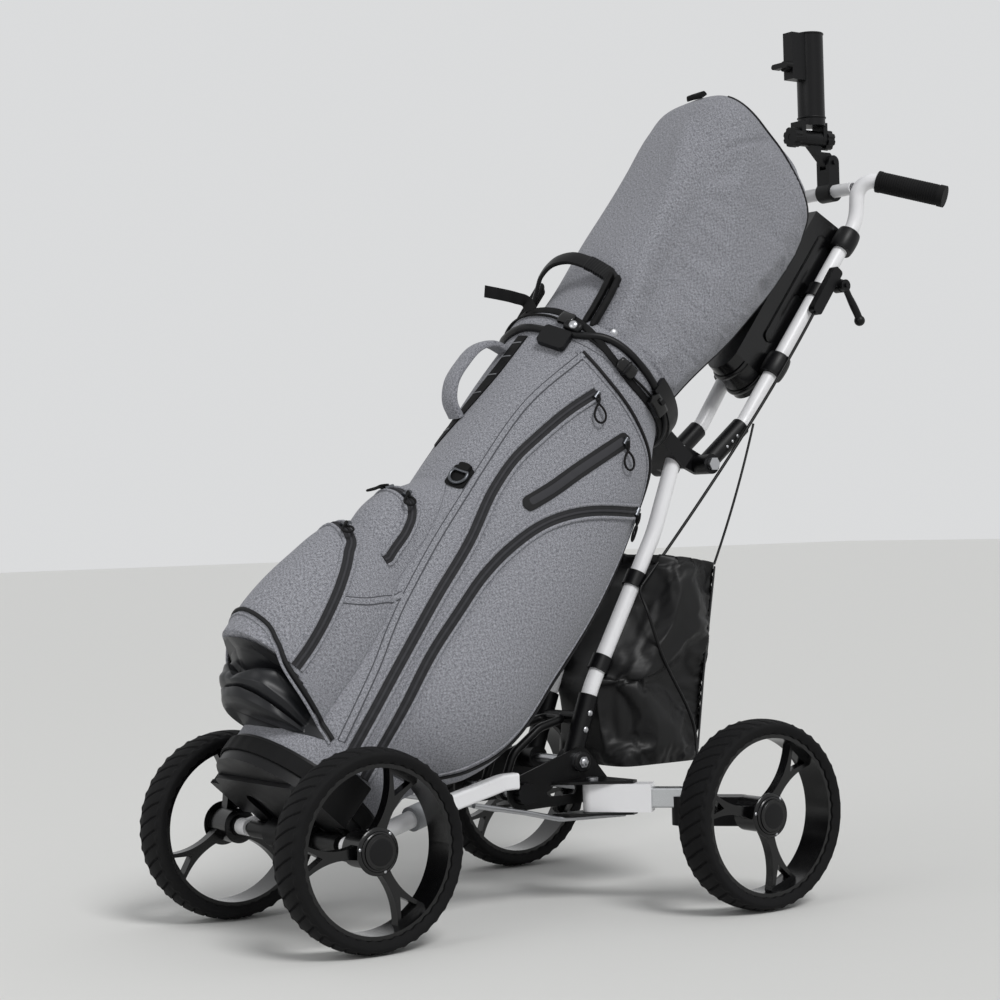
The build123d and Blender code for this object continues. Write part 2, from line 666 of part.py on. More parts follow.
BALL_LOW = 140
BALL_HIGH = 420
pieces["side_pocket_left"] = make_pocket(side_stations(1), [shell_body.part], 1)
pieces["side_pocket_right"] = make_pocket(side_stations(-1), [shell_body.part], -1)
ball_stations = (
    (BALL_LOW, 0, 106, 88, 122),
    (210, 0, 106, 92, 130),
    (300, 0, 104, 90, 124),
    (370, 0, 98, 80, 112),
    (BALL_HIGH, 0, 92, 62, 80),
)
pieces["ball_pocket"] = make_pocket(
    ball_stations, [shell_body.part, pieces["side_pocket_left"], pieces["side_pocket_right"]]
)
pouch_stations = (
    (BASE_HEIGHT + 6, 0, 84, 74, 76),
    (100, 0, 98, 84, 106),
    (BALL_LOW, 0, 102, 84, 112),
)
pieces["lower_pouch"] = make_pocket(pouch_stations, [shell_body.part])
upper_stations = (
    (BALL_HIGH, 12, 96, 62, 82),
    (490, 12, 96, 62, 80),
    (555, 10, 92, 54, 66),
    (605, 8, 88, 42, 52),
)
pieces["front_pocket"] = make_pocket(
    upper_stations, [shell_body.part, pieces["side_pocket_left"], pieces["side_pocket_right"]]
)

# Straps round the bag

STRAP_LOW, STRAP_HIGH = 802, 826
LOWER_STRAP_LOW, LOWER_STRAP_HIGH = 30, 54
with BuildPart() as straps:
    add(make_sleeve(STRAP_LOW, STRAP_HIGH, GAP, GAP + WEBBING))
    add(make_sleeve(LOWER_STRAP_LOW, LOWER_STRAP_HIGH, WEBBING + GAP, 2 * WEBBING + GAP))
pieces["bag_straps"] = straps.part

BUCKLE_X = 70
STRAP_HALF_X, STRAP_HALF_W = shell_half((STRAP_LOW + STRAP_HIGH) / 2)
BUCKLE_OUT = STRAP_HALF_W * sqrt(1 - (BUCKLE_X / STRAP_HALF_X) ** 2)
BUCKLE_TURN = degrees(atan2(BUCKLE_X, BUCKLE_OUT))
buckle_at = BAG.from_local_coords(Vector(BUCKLE_X, -BUCKLE_OUT, (STRAP_LOW + STRAP_HIGH) / 2))
buckle_out = BAG.x_dir * sin(radians(BUCKLE_TURN)) - BAG.y_dir * cos(radians(BUCKLE_TURN))
with BuildPart() as buckle:
    with BuildSketch(Plane(origin=buckle_at + buckle_out * WEBBING, x_dir=BAG_RUN, z_dir=buckle_out)):
        RectangleRounded(34, 48, 6)
    extrude(amount=10)
    add(make_sleeve(STRAP_LOW - 20, STRAP_HIGH + 8, -BAG_WALL, GAP + WEBBING), mode=Mode.SUBTRACT)
pieces["strap_buckle"] = buckle.part.solids().sort_by(SortBy.VOLUME)[-1]

# Handles of the bag

LOOP_R = 7
LOOP_X = BAG_TOP_HALF_X - 50
LOOP_FOOT = BAG_TOP_HALF_W - 41
LOOP_SHOULDER = 72
LOOP_OUT = BAG_TOP_HALF_W + 8
LOOP_RISE = 118
with BuildPart() as loop:
    loop_points = [
        BAG.from_local_coords(Vector(LOOP_X, -LOOP_FOOT, CUFF_TOP)),
        BAG.from_local_coords(Vector(LOOP_X - 2, -LOOP_FOOT - 8, CUFF_TOP + LOOP_SHOULDER)),
        BAG.from_local_coords(Vector(0, -LOOP_OUT, CUFF_TOP + LOOP_RISE)),
        BAG.from_local_coords(Vector(2 - LOOP_X, -LOOP_FOOT - 8, CUFF_TOP + LOOP_SHOULDER)),
        BAG.from_local_coords(Vector(-LOOP_X, -LOOP_FOOT, CUFF_TOP)),
    ]
    with BuildLine():
        FilletPolyline(*loop_points, radius=[30, 80, 30])
    with BuildSketch(Plane(origin=loop_points[0], z_dir=loop_points[1] - loop_points[0])):
        Circle(LOOP_R)
    sweep()
    split(bisect_by=BAG.offset(CUFF_TOP), keep=Keep.TOP)
pieces["cuff_handle"] = loop.part

CARRY_X = -28
CARRY_WIDTH = 28
CARRY_THICK = 8
CARRY_LOW, CARRY_HIGH = 652, 792
CARRY_OUT = 178
with BuildPart() as carry:
    carry_foot = sqrt(1 - (CARRY_X / STRAP_HALF_X) ** 2) * STRAP_HALF_W - CARRY_THICK
    with BuildLine(Plane(origin=SIDE.origin + Vector(CARRY_X, 0, 0), x_dir=BAG_RUN, z_dir=(1, 0, 0))):
        FilletPolyline(
            (CARRY_LOW, carry_foot),
            (CARRY_LOW + 34, CARRY_OUT),
            (CARRY_HIGH - 34, CARRY_OUT),
            (CARRY_HIGH, carry_foot),
            radius=32,
        )
    carry_start = SIDE.from_local_coords(Vector(CARRY_LOW, carry_foot, CARRY_X))
    carry_next = SIDE.from_local_coords(Vector(CARRY_LOW + 34, CARRY_OUT, CARRY_X))
    with BuildSketch(Plane(origin=carry_start, x_dir=(1, 0, 0), z_dir=carry_next - carry_start)):
        RectangleRounded(CARRY_WIDTH, CARRY_THICK, 3)
    sweep()
    add(shell_body.part, mode=Mode.SUBTRACT)
pieces["carry_handle"] = carry.part

# Hood: a soft cover that stands on the cuff's lip, open below

HOOD_WALL = 4
HOOD_RISE = 502
HOOD_X, HOOD_W = BAG_TOP_HALF_X - 20, BAG_TOP_HALF_W - 20
HOOD_STATIONS = (
    (GAP, HOOD_X, HOOD_W, -HOOD_W, min(HOOD_X, HOOD_W) - 10),
    (82, HOOD_X - 7, HOOD_W - 6, -HOOD_W - 4, 92),
    (0.42 * HOOD_RISE, HOOD_X - 12, HOOD_W, -HOOD_W - 23, 70),
    (0.67 * HOOD_RISE, HOOD_X - 16, HOOD_W + 10, -HOOD_W - 36, 60),
    (0.84 * HOOD_RISE, HOOD_X - 19, HOOD_W + 12, -HOOD_W - 22, 54),
    (0.945 * HOOD_RISE, HOOD_X - 25, HOOD_W + 6, 14 - HOOD_W, 48),
    (HOOD_RISE, HOOD_X - 38, HOOD_W - 8, 64 - HOOD_W, 42),
)


def make_hood_form(shrink, drop):
    """Loft through rounded rectangles of (height over the cuff, half x, front, rear, corner)."""
    with BuildPart() as form:
        for rise, half_x, front, rear, corner in HOOD_STATIONS:
            height = CUFF_TOP + (rise if rise < HOOD_STATIONS[1][0] else rise - drop)
            with BuildSketch(BAG.offset(height)):
                with Locations((0, -(front + rear) / 2)):
                    RectangleRounded(2 * (half_x - shrink), front - rear - 2 * shrink, corner - shrink)
        loft()
    return form.part


with BuildPart() as hood:
    add(make_hood_form(0, 0))
    add(make_hood_form(HOOD_WALL, HOOD_WALL), mode=Mode.SUBTRACT)
pieces["hood"] = hood.part

# Lower cradle: a plate under the bag on the front axle, with an arm up each side

CRADLE_TOP = BAG_FLOOR - GAP
CRADLE_LOW = CRADLE_TOP - CRADLE_PLATE
CRADLE_ARM_INNER = shell_half(BASE_HEIGHT)[0] + 2 * WEBBING + 2
CRADLE_ARM_THICK = 9
CRADLE_ARM_TOP = 76
CRADLE_HALF_X, CRADLE_HALF_W = 116, 75
CRADLE_ARM_WIDTH = 70
CRADLE_ARM_OUT = 23
CRADLE_BOSS_X = 40
CRADLE_BOSS_LENGTH = 44
CRADLE_BOSS_WALL = 8
cradle_arm_x = CRADLE_ARM_INNER + CRADLE_ARM_THICK / 2
with BuildPart() as cradle:
    for side in (-1, 1):
        with Locations(across(side * CRADLE_BOSS_X, FRONT_AXLE_Y, WHEEL_R)):
            Cylinder(FRONT_BEAM_R + CRADLE_BOSS_WALL, CRADLE_BOSS_LENGTH)
    split(bisect_by=BAG.offset(CRADLE_LOW), keep=Keep.BOTTOM)
    with BuildSketch(BAG.offset(CRADLE_LOW)):
        RectangleRounded(2 * CRADLE_HALF_X, 2 * CRADLE_HALF_W, 18)
        with Locations((0, -CRADLE_ARM_OUT)):
            Rectangle(2 * (CRADLE_ARM_INNER + CRADLE_ARM_THICK), CRADLE_ARM_WIDTH)
        with Locations((-CRADLE_HALF_X / 2, 0), (CRADLE_HALF_X / 2, 0)):
            SlotOverall(CRADLE_HALF_W, CRADLE_HALF_W / 2, rotation=90, mode=Mode.SUBTRACT)
    extrude(amount=CRADLE_PLATE)
    with Locations(across(0, FRONT_AXLE_Y, WHEEL_R)):
        Cylinder(FRONT_BEAM_R + FIT, FRONT_TRACK, mode=Mode.SUBTRACT)
    with BuildSketch(BAG.offset(CRADLE_TOP)):
        with Locations((cradle_arm_x, -CRADLE_ARM_OUT), (-cradle_arm_x, -CRADLE_ARM_OUT)):
            RectangleRounded(CRADLE_ARM_THICK, CRADLE_ARM_WIDTH, CRADLE_ARM_THICK / 2 - FIT)
    extrude(amount=CRADLE_ARM_TOP - CRADLE_TOP)
pieces["bag_cradle"] = cradle.part

# Upper bracket: a saddle behind the bag's cuff, a yoke on the uprights and two lugs for the handle

SADDLE_LOW, SADDLE_HIGH = BAG_SHELL_END + 2, CUFF_TOP - 4
SADDLE_INNER = CUFF_STAND + 1.2
SADDLE_THICK = 9
SADDLE_REACH = 24
YOKE_HALF_X = UPRIGHT_X + TUBE_R + 6
YOKE_HALF = 24
upright_top = BAG.to_local_coords(Vector(*UPRIGHT_TOP))
with BuildPart() as bracket:
    with BuildSketch(BAG.offset(SADDLE_LOW)):
        with Locations((0, upright_top.Y - YOKE_HALF / 2)):
            Rectangle(2 * YOKE_HALF_X, 2 * YOKE_HALF + YOKE_HALF)
        Ellipse(BAG_TOP_HALF_X + SADDLE_INNER + SADDLE_THICK, BAG_TOP_HALF_W + SADDLE_INNER + SADDLE_THICK)
        Ellipse(BAG_TOP_HALF_X + SADDLE_INNER, BAG_TOP_HALF_W + SADDLE_INNER, mode=Mode.SUBTRACT)
        with Locations((0, SADDLE_REACH - 2 * BAG_TOP_HALF_X)):
            Rectangle(4 * BAG_TOP_HALF_X, 4 * BAG_TOP_HALF_X, mode=Mode.SUBTRACT)
    extrude(amount=SADDLE_HIGH - SADDLE_LOW)
    with BuildSketch(across(LUG_INNER_X, 0, 0)):
        with Locations((UPRIGHT_TOP_Y + 4, UPRIGHT_TOP_Z - 8)):
            Circle(EYE_R + 1)
        with Locations((FOLD_Y, FOLD_Z)):
            Circle(EYE_R)
        make_hull()
    extrude(amount=LUG_THICK)
    mirror(about=Plane.YZ)
    with Locations(across(0, FOLD_Y, FOLD_Z)):
        Cylinder(FOLD_BOLT_R + FIT, 4 * HANDLE_X, mode=Mode.SUBTRACT)
    with BuildLine():
        FilletPolyline(UPRIGHT_START, SLEEVE_TOP, UPRIGHT_KNEE, UPRIGHT_TOP, radius=UPRIGHT_BEND)
    with BuildSketch(Plane(origin=UPRIGHT_START, z_dir=SLEEVE_RUN)):
        Circle(TUBE_R + FIT)
    sweep(mode=Mode.SUBTRACT)
    split(bisect_by=Plane.YZ, keep=Keep.TOP)
    mirror(about=Plane.YZ)
pieces["upper_bracket"] = bracket.part

# Pivot bolts: one at the uprights' foot, one at the handle's fold and an upright pin for each rear arm

FOLD_HEAD_X = HANDLE_X + SLEEVE_R + GAP
GUSSET_FACE_Z = GUSSET_TOP_Z + GUSSET_THICK
with BuildPart() as pivot_bolts:
    with BuildSketch(across(PLATE_OUTER_X, FOOT_Y, FOOT_Z)):
        Circle(PIVOT_HEAD_R)
    extrude(amount=PIVOT_HEAD_THICK)
    with BuildSketch(across(PLATE_OUTER_X + PIVOT_HEAD_THICK, FOOT_Y, FOOT_Z)):
        RegularPolygon(PIVOT_BOLT_R + 2, 6)
    extrude(amount=PIVOT_HEAD_THICK / 2)
    with BuildSketch(across(FOLD_HEAD_X, FOLD_Y, FOLD_Z)):
        RegularPolygon(FOLD_HEAD_R, 6)
    extrude(amount=PIVOT_HEAD_THICK)
    with BuildSketch(Plane.XY.offset(GUSSET_LOW_Z)):
        with Locations((REAR_PIVOT_X, REAR_PIVOT_Y)):
            Circle(REAR_PIN_R)
    extrude(amount=GUSSET_FACE_Z - GUSSET_LOW_Z)
    with BuildSketch(Plane.XY.offset(GUSSET_FACE_Z)):
        with Locations((REAR_PIVOT_X, REAR_PIVOT_Y)):
            Circle(REAR_PIN_R + 3)
    extrude(amount=GUSSET_THICK)
    mirror(about=Plane.YZ)
    with Locations(across(0, FOOT_Y, FOOT_Z)):
        Cylinder(PIVOT_BOLT_R, 2 * PLATE_OUTER_X)
    with Locations(across(0, FOLD_Y, FOLD_Z)):
        Cylinder(FOLD_BOLT_R, 2 * FOLD_HEAD_X)
pieces["pivot_bolts"] = pivot_bolts.part

# Handle: sleeves on the fold bolt, one bent frame, grips

FOLD_RUN = Vector(0, cos(radians(UPPER_SLEEVE_ANGLE)), sin(radians(UPPER_SLEEVE_ANGLE)))
FOLD = Vector(HANDLE_X, FOLD_Y, FOLD_Z)
HANDLE_START = FOLD + FOLD_RUN * 24
HANDLE_KNEE = FOLD + FOLD_RUN * (UPPER_SLEEVE_LENGTH + 8)
HANDLE_ELBOW = Vector(HANDLE_TOP_X - 3.5, HANDLE_TOP_Y - 3, HANDLE_TOP_Z - 75)
HANDLE_TOP = Vector(HANDLE_TOP_X, HANDLE_TOP_Y, HANDLE_TOP_Z)
HANDLE_END = HANDLE_TOP + Vector(120, 72, -43)
GRIP_RUN = (HANDLE_END - HANDLE_TOP).normalized()
GRIP_LENGTH = (HANDLE_END - HANDLE_TOP).length - GRIP_START
EYE_INNER_X = LUG_INNER_X + LUG_THICK + GAP
EYE_OUTER_X = HANDLE_X + SLEEVE_R
with BuildPart() as upper_sleeves:
    with BuildSketch(across(EYE_INNER_X, FOLD_Y, FOLD_Z)):
        Circle(EYE_R)
    extrude(amount=EYE_OUTER_X - EYE_INNER_X)
    with BuildSketch(Plane(origin=FOLD, z_dir=FOLD_RUN)):
        Circle(SLEEVE_R)
    extrude(amount=UPPER_SLEEVE_LENGTH)
    with BuildSketch(Plane(origin=HANDLE_START, z_dir=FOLD_RUN)):
        Circle(TUBE_R + FIT)
    extrude(amount=UPPER_SLEEVE_LENGTH, mode=Mode.SUBTRACT)
    split(bisect_by=across(EYE_INNER_X, 0, 0), keep=Keep.TOP)
    mirror(about=Plane.YZ)
    with Locations(across(0, FOLD_Y, FOLD_Z)):
        Cylinder(FOLD_BOLT_R + RUNNING, 4 * HANDLE_X, mode=Mode.SUBTRACT)
pieces["upper_sleeves"] = upper_sleeves.part

with BuildPart() as handle_frame:
    with BuildLine():
        FilletPolyline(
            HANDLE_START, HANDLE_KNEE, HANDLE_ELBOW, HANDLE_TOP, HANDLE_END, radius=HANDLE_BENDS
        )
    with BuildSketch(Plane(origin=HANDLE_START, z_dir=FOLD_RUN)):
        Circle(TUBE_R)
        Circle(TUBE_R - TUBE_WALL, mode=Mode.SUBTRACT)
    sweep()
    with BuildSketch(across(0, HANDLE_TOP_Y, CROSSBAR_Z)):
        Circle(CROSSBAR_R)
        Circle(CROSSBAR_R - TUBE_WALL, mode=Mode.SUBTRACT)
    extrude(amount=HANDLE_TOP_X - TUBE_R + 2)
    mirror(about=Plane.YZ)
pieces["handle_frame"] = handle_frame.part

with BuildPart() as grips:
    with BuildSketch(Plane(origin=HANDLE_TOP + GRIP_RUN * GRIP_START, z_dir=GRIP_RUN)):
        Circle(GRIP_R)
    extrude(amount=GRIP_LENGTH + GRIP_END_WALL)
    with BuildSketch(Plane(origin=HANDLE_TOP + GRIP_RUN * GRIP_START, z_dir=GRIP_RUN)):
        Circle(TUBE_R + FIT)
    extrude(amount=GRIP_LENGTH + GAP, mode=Mode.SUBTRACT)
    mirror(about=Plane.YZ)
pieces["grips"] = grips.part

# Console between the handle tubes, held by a collar at each corner

TUBE_RUN = (HANDLE_ELBOW - HANDLE_KNEE).normalized()
TUBE_FLARE = TUBE_RUN.X
STRAIGHT = Vector(0, TUBE_RUN.Y, TUBE_RUN.Z).normalized()
FORWARD = Vector(0, -STRAIGHT.Z, STRAIGHT.Y)
CONSOLE = Plane(origin=(0, HANDLE_KNEE.Y, HANDLE_KNEE.Z), x_dir=(1, 0, 0), z_dir=FORWARD)
CONSOLE_LOW, CONSOLE_HIGH = 96, 404
CONSOLE_BACK, CONSOLE_FRONT = -10, 64
CONSOLE_HALF_LOW, CONSOLE_HALF_HIGH = 40, 49
CONSOLE_BELLY = 34
CONSOLE_DRAFT = 5
CONSOLE_WALL = 4
RECESS_WIDTH = 70
RECESS_MARGIN = 110
CUP_R = 29
COLLAR_WALL = 5
COLLAR_HEIGHT = 28
COLLAR_ARM = 20
with BuildPart() as console:
    with BuildSketch(CONSOLE.offset(CONSOLE_BACK)):
        with BuildLine():
            Polyline(
                (CONSOLE_HALF_LOW, CONSOLE_LOW),
                (CONSOLE_HALF_HIGH, CONSOLE_HIGH),
                (-CONSOLE_HALF_HIGH, CONSOLE_HIGH),
                (-CONSOLE_HALF_LOW, CONSOLE_LOW),
            )
            ThreePointArc(
                (-CONSOLE_HALF_LOW, CONSOLE_LOW),
                (0, CONSOLE_LOW - CONSOLE_BELLY),
                (CONSOLE_HALF_LOW, CONSOLE_LOW),
            )
        make_face()
    extrude(amount=CONSOLE_FRONT - CONSOLE_BACK, taper=CONSOLE_DRAFT)
    with BuildSketch(CONSOLE.offset(CONSOLE_BACK)):
        with Locations((0, (CONSOLE_HIGH + CONSOLE_LOW) / 2 + 42)):
            Rectangle(RECESS_WIDTH, CONSOLE_HIGH - CONSOLE_LOW - RECESS_MARGIN)
        with Locations((0, CONSOLE_LOW + 16)):
            Circle(CUP_R)
    extrude(amount=CONSOLE_FRONT - CONSOLE_BACK - CONSOLE_WALL, taper=CONSOLE_DRAFT, mode=Mode.SUBTRACT)
    for along in (CONSOLE_LOW + 20, CONSOLE_HIGH - 24):
        collar_at = HANDLE_KNEE + TUBE_RUN * (along - COLLAR_HEIGHT / 2)
        with BuildSketch(Plane(origin=collar_at, x_dir=(1, 0, 0), z_dir=TUBE_RUN)):
            Circle(TUBE_R + COLLAR_WALL)
            with Locations((-COLLAR_ARM / 2, 0)):
                Rectangle(COLLAR_ARM, COLLAR_ARM)
        extrude(amount=COLLAR_HEIGHT)
    with BuildSketch(Plane(origin=HANDLE_KNEE, z_dir=TUBE_RUN)):
        Circle(TUBE_R + FIT)
    extrude(amount=CONSOLE_HIGH + CONSOLE_LOW, mode=Mode.SUBTRACT)
    split(bisect_by=Plane.YZ, keep=Keep.TOP)
    mirror(about=Plane.YZ)
pieces["console"] = console.part

# Brake lever and its bracket, on the left tube

BRAKE_LOW, BRAKE_HIGH = 226, 318
BRAKE_THICK = 14
BRAKE_PIVOT_ALONG = 298
BRAKE_PIVOT_BACK = -20
BRAKE_PIN_R = 3.5
BRAKE_X = HANDLE_KNEE.X + TUBE_FLARE * BRAKE_HIGH + TUBE_R + FIT
BRAKE = Plane(origin=(BRAKE_X, HANDLE_KNEE.Y, HANDLE_KNEE.Z), x_dir=STRAIGHT, z_dir=(1, 0, 0))
LEVER_X = BRAKE_THICK + GAP
LEVER_THICK = 9
with BuildPart() as brake_bracket:
    with BuildSketch(BRAKE):
        with Locations(((BRAKE_LOW + BRAKE_HIGH) / 2, 0)):
            RectangleRounded(BRAKE_HIGH - BRAKE_LOW, 20, 6)
        with Locations((BRAKE_PIVOT_ALONG, BRAKE_PIVOT_BACK)):
            Circle(11)
        with Locations((BRAKE_PIVOT_ALONG, BRAKE_PIVOT_BACK / 2)):
            Rectangle(16, 20)
    extrude(amount=BRAKE_THICK)
    with BuildSketch(Plane(origin=HANDLE_KNEE + TUBE_RUN * 258, z_dir=TUBE_RUN)):
        Circle(TUBE_R + 4)
    extrude(amount=24)
    with BuildSketch(Plane(origin=HANDLE_KNEE, z_dir=TUBE_RUN)):
        Circle(TUBE_R + FIT)
    extrude(amount=CONSOLE_HIGH, mode=Mode.SUBTRACT)
    pin_at = BRAKE.from_local_coords(Vector(BRAKE_PIVOT_ALONG, BRAKE_PIVOT_BACK, BRAKE_THICK))
    with BuildSketch(Plane(origin=pin_at, z_dir=(1, 0, 0))):
        Circle(BRAKE_PIN_R)
    extrude(amount=LEVER_THICK + 4)
pieces["brake_bracket"] = brake_bracket.part

LEVER_LENGTH = 66
LEVER_ANGLE = -60
LEVER_BALL_R = 9
lever_run = Vector(0, cos(radians(LEVER_ANGLE)), sin(radians(LEVER_ANGLE)))
lever_mid = pin_at + Vector(GAP + LEVER_THICK / 2, 0, 0)
with BuildPart() as brake_lever:
    with BuildSketch(Plane(origin=pin_at + Vector(GAP, 0, 0), z_dir=(1, 0, 0))):
        Circle(10)
    extrude(amount=LEVER_THICK)
    with BuildSketch(Plane(origin=lever_mid, x_dir=(1, 0, 0), z_dir=lever_run)):
        Ellipse(LEVER_THICK / 2, 6)
    extrude(amount=LEVER_LENGTH)
    with Locations(lever_mid + lever_run * LEVER_LENGTH):
        Sphere(LEVER_BALL_R)
    with BuildSketch(Plane(origin=pin_at, z_dir=(1, 0, 0))):
        Circle(BRAKE_PIN_R + RUNNING)
    extrude(amount=4 * LEVER_THICK, mode=Mode.SUBTRACT)
pieces["brake_lever"] = brake_lever.part

# Umbrella holder on the crossbar: clamp, arm, socket and their knobs

CLAMP_HALF_X = 15
CLAMP_WALL = 6
TILT_Z = CROSSBAR_Z + 50
TILT_R = 12
TILT_PIN_R = 4
TONGUE_HALF = 7
LEAN_Y = HANDLE_TOP_Y - 41
LEAN_Z = TILT_Z + 39
LEAN_R = 14
LEAN_HALF = 20
LEAN_PIN_R = 5
EAR_THICK = 9
SOCKET_R = 23
SOCKET_BORE_R = 20
SOCKET_FLOOR = 6
SOCKET_LOW = LEAN_Z + 21
SOCKET_TOP = SOCKET_LOW + 158
SOCKET_Y = LEAN_Y + 6
KNOB_R = 17
KNOB_THICK = 15
with BuildPart() as clamp:
    with BuildSketch(across(-CLAMP_HALF_X, 0, 0)):
        with Locations((HANDLE_TOP_Y, CROSSBAR_Z)):
            Circle(CROSSBAR_R + CLAMP_WALL)
        with Locations((HANDLE_TOP_Y, (CROSSBAR_Z + TILT_Z) / 2)):
            Rectangle(2 * TILT_R, TILT_Z - CROSSBAR_Z)
        with Locations((HANDLE_TOP_Y, TILT_Z)):
            Circle(TILT_R)
        with Locations((HANDLE_TOP_Y, CROSSBAR_Z)):
            Circle(CROSSBAR_R + FIT, mode=Mode.SUBTRACT)
    extrude(amount=2 * CLAMP_HALF_X)
    with BuildSketch(across(-TONGUE_HALF - GAP, 0, 0)):
        with Locations((HANDLE_TOP_Y, TILT_Z + TILT_R)):
            Rectangle(6 * TILT_R, 4 * TILT_R + 2 * GAP)
    extrude(amount=2 * (TONGUE_HALF + GAP), mode=Mode.SUBTRACT)
    with Locations(across(0, HANDLE_TOP_Y, TILT_Z)):
        Cylinder(TILT_PIN_R, 2 * CLAMP_HALF_X + 8)
pieces["umbrella_clamp"] = clamp.part

with BuildPart() as arm:
    with BuildSketch(across(-TONGUE_HALF, 0, 0)):
        with Locations((HANDLE_TOP_Y, TILT_Z)):
            Circle(TILT_R)
        with Locations((LEAN_Y, LEAN_Z)):
            Circle(TILT_R)
        make_hull()
    extrude(amount=2 * TONGUE_HALF)
    with BuildSketch(Plane(origin=(0, LEAN_Y - LEAN_HALF, LEAN_Z), z_dir=(0, 1, 0))):
        Circle(LEAN_R)
    extrude(amount=2 * LEAN_HALF)
    with BuildSketch(Plane(origin=(0, LEAN_Y + LEAN_HALF, LEAN_Z), z_dir=(0, 1, 0))):
        Circle(LEAN_R + EAR_THICK)
    extrude(amount=EAR_THICK + 4 * GAP + KNOB_THICK, mode=Mode.SUBTRACT)
    with BuildSketch(Plane(origin=(0, LEAN_Y - LEAN_HALF - EAR_THICK - KNOB_THICK, LEAN_Z), z_dir=(0, 1, 0))):
        Circle(LEAN_PIN_R)
    extrude(amount=2 * (LEAN_HALF + EAR_THICK + KNOB_THICK))
    with Locations(across(0, HANDLE_TOP_Y, TILT_Z)):
        Cylinder(TILT_PIN_R + RUNNING, 4 * CLAMP_HALF_X, mode=Mode.SUBTRACT)
pieces["umbrella_arm"] = arm.part

RIB_HALF_X = 11
RIB_REACH = 16
RIB_LOW = SOCKET_LOW + 76
WING_Z = RIB_LOW + 21
WING_PIN_R = 4
with BuildPart() as socket:
    with BuildSketch(Plane(origin=(0, SOCKET_Y, SOCKET_LOW), z_dir=(0, 0, 1))):
        Circle(SOCKET_R)
    extrude(amount=SOCKET_TOP - SOCKET_LOW)
    with BuildSketch(Plane(origin=(0, SOCKET_Y - SOCKET_R - RIB_REACH / 2, RIB_LOW), z_dir=(0, 0, 1))):
        Rectangle(2 * RIB_HALF_X, RIB_REACH + SOCKET_R)
    extrude(amount=SOCKET_TOP - RIB_LOW - 3)
    for ear_y in (LEAN_Y - LEAN_HALF - GAP - EAR_THICK, LEAN_Y + LEAN_HALF + GAP):
        with BuildSketch(Plane(origin=(0, ear_y, 0), x_dir=(1, 0, 0), z_dir=(0, 1, 0))):
            with Locations((0, -LEAN_Z)):
                Circle(LEAN_R)
            with Locations((0, -(LEAN_Z + SOCKET_LOW) / 2)):
                Rectangle(2 * LEAN_R, SOCKET_LOW - LEAN_Z)
        extrude(amount=EAR_THICK)
    with BuildSketch(Plane(origin=(0, LEAN_Y, SOCKET_LOW), z_dir=(0, 0, 1))):
        Rectangle(2 * LEAN_R, 2 * (LEAN_HALF + GAP + EAR_THICK))
    extrude(amount=SOCKET_FLOOR)
    with BuildSketch(Plane(origin=(0, SOCKET_Y, SOCKET_LOW + SOCKET_FLOOR), z_dir=(0, 0, 1))):
        Circle(SOCKET_BORE_R)
    extrude(amount=SOCKET_TOP - SOCKET_LOW, mode=Mode.SUBTRACT)
    with BuildSketch(Plane(origin=(0, LEAN_Y, LEAN_Z), z_dir=(0, 1, 0))):
        Circle(LEAN_PIN_R + RUNNING)
    extrude(amount=4 * LEAN_HALF, both=True, mode=Mode.SUBTRACT)
    with BuildSketch(Plane(origin=(0, SOCKET_Y, WING_Z), z_dir=(0, -1, 0))):
        Circle(WING_PIN_R + RUNNING)
    extrude(amount=4 * SOCKET_R, mode=Mode.SUBTRACT)
pieces["umbrella_socket"] = socket.part


def make_lean_knob(side):
    """Lobed knob on one end of the lean pin."""
    knob_y = LEAN_Y + side * (LEAN_HALF + 2 * GAP + EAR_THICK)
    with BuildPart() as knob:
        with BuildSketch(Plane(origin=(0, knob_y, LEAN_Z), z_dir=(0, side, 0))):
            Circle(KNOB_R)
            with PolarLocations(KNOB_R + 2, 8):
                Circle(4, mode=Mode.SUBTRACT)
        extrude(amount=KNOB_THICK)
        with BuildSketch(Plane(origin=(0, knob_y, LEAN_Z), z_dir=(0, side, 0))):
            Circle(LEAN_PIN_R + RUNNING)
        extrude(amount=KNOB_THICK, mode=Mode.SUBTRACT)
    return knob.part


pieces["lean_knob_front"] = make_lean_knob(-1)
pieces["lean_knob_rear"] = make_lean_knob(1)

WING_Y = SOCKET_Y - SOCKET_R - RIB_REACH - SOCKET_R / 2 - GAP
with BuildPart() as wing:
    with BuildSketch(Plane(origin=(0, WING_Y, WING_Z), z_dir=(0, -1, 0))):
        Circle(9)
    extrude(amount=10)
    with BuildSketch(Plane(origin=(0, WING_Y - 6, WING_Z), x_dir=(1, 0, 0), z_dir=(0, -1, 0))):
        SlotOverall(40, 9)
    extrude(amount=14)
    with BuildSketch(Plane(origin=(0, SOCKET_Y - SOCKET_BORE_R - 1, WING_Z), z_dir=(0, -1, 0))):
        Circle(WING_PIN_R)
    extrude(amount=SOCKET_R + RIB_REACH)
pieces["socket_knob"] = wing.part

# Storage bag behind the uprights, open at the top, and the collars that hold it

UPRIGHT_RUN = (Vector(*UPRIGHT_KNEE) - Vector(*SLEEVE_TOP)).normalized()
UPRIGHT_BACK = Vector(0, UPRIGHT_RUN.Z, -UPRIGHT_RUN.Y)
BAND_R = 16.5
front_line = Vector(*SLEEVE_TOP) + UPRIGHT_BACK * (BAND_R + GAP)


def store_front(height):
    """Y of the storage bag's front face at a height."""
    return front_line.Y + (height - front_line.Z) * UPRIGHT_RUN.Y / UPRIGHT_RUN.Z


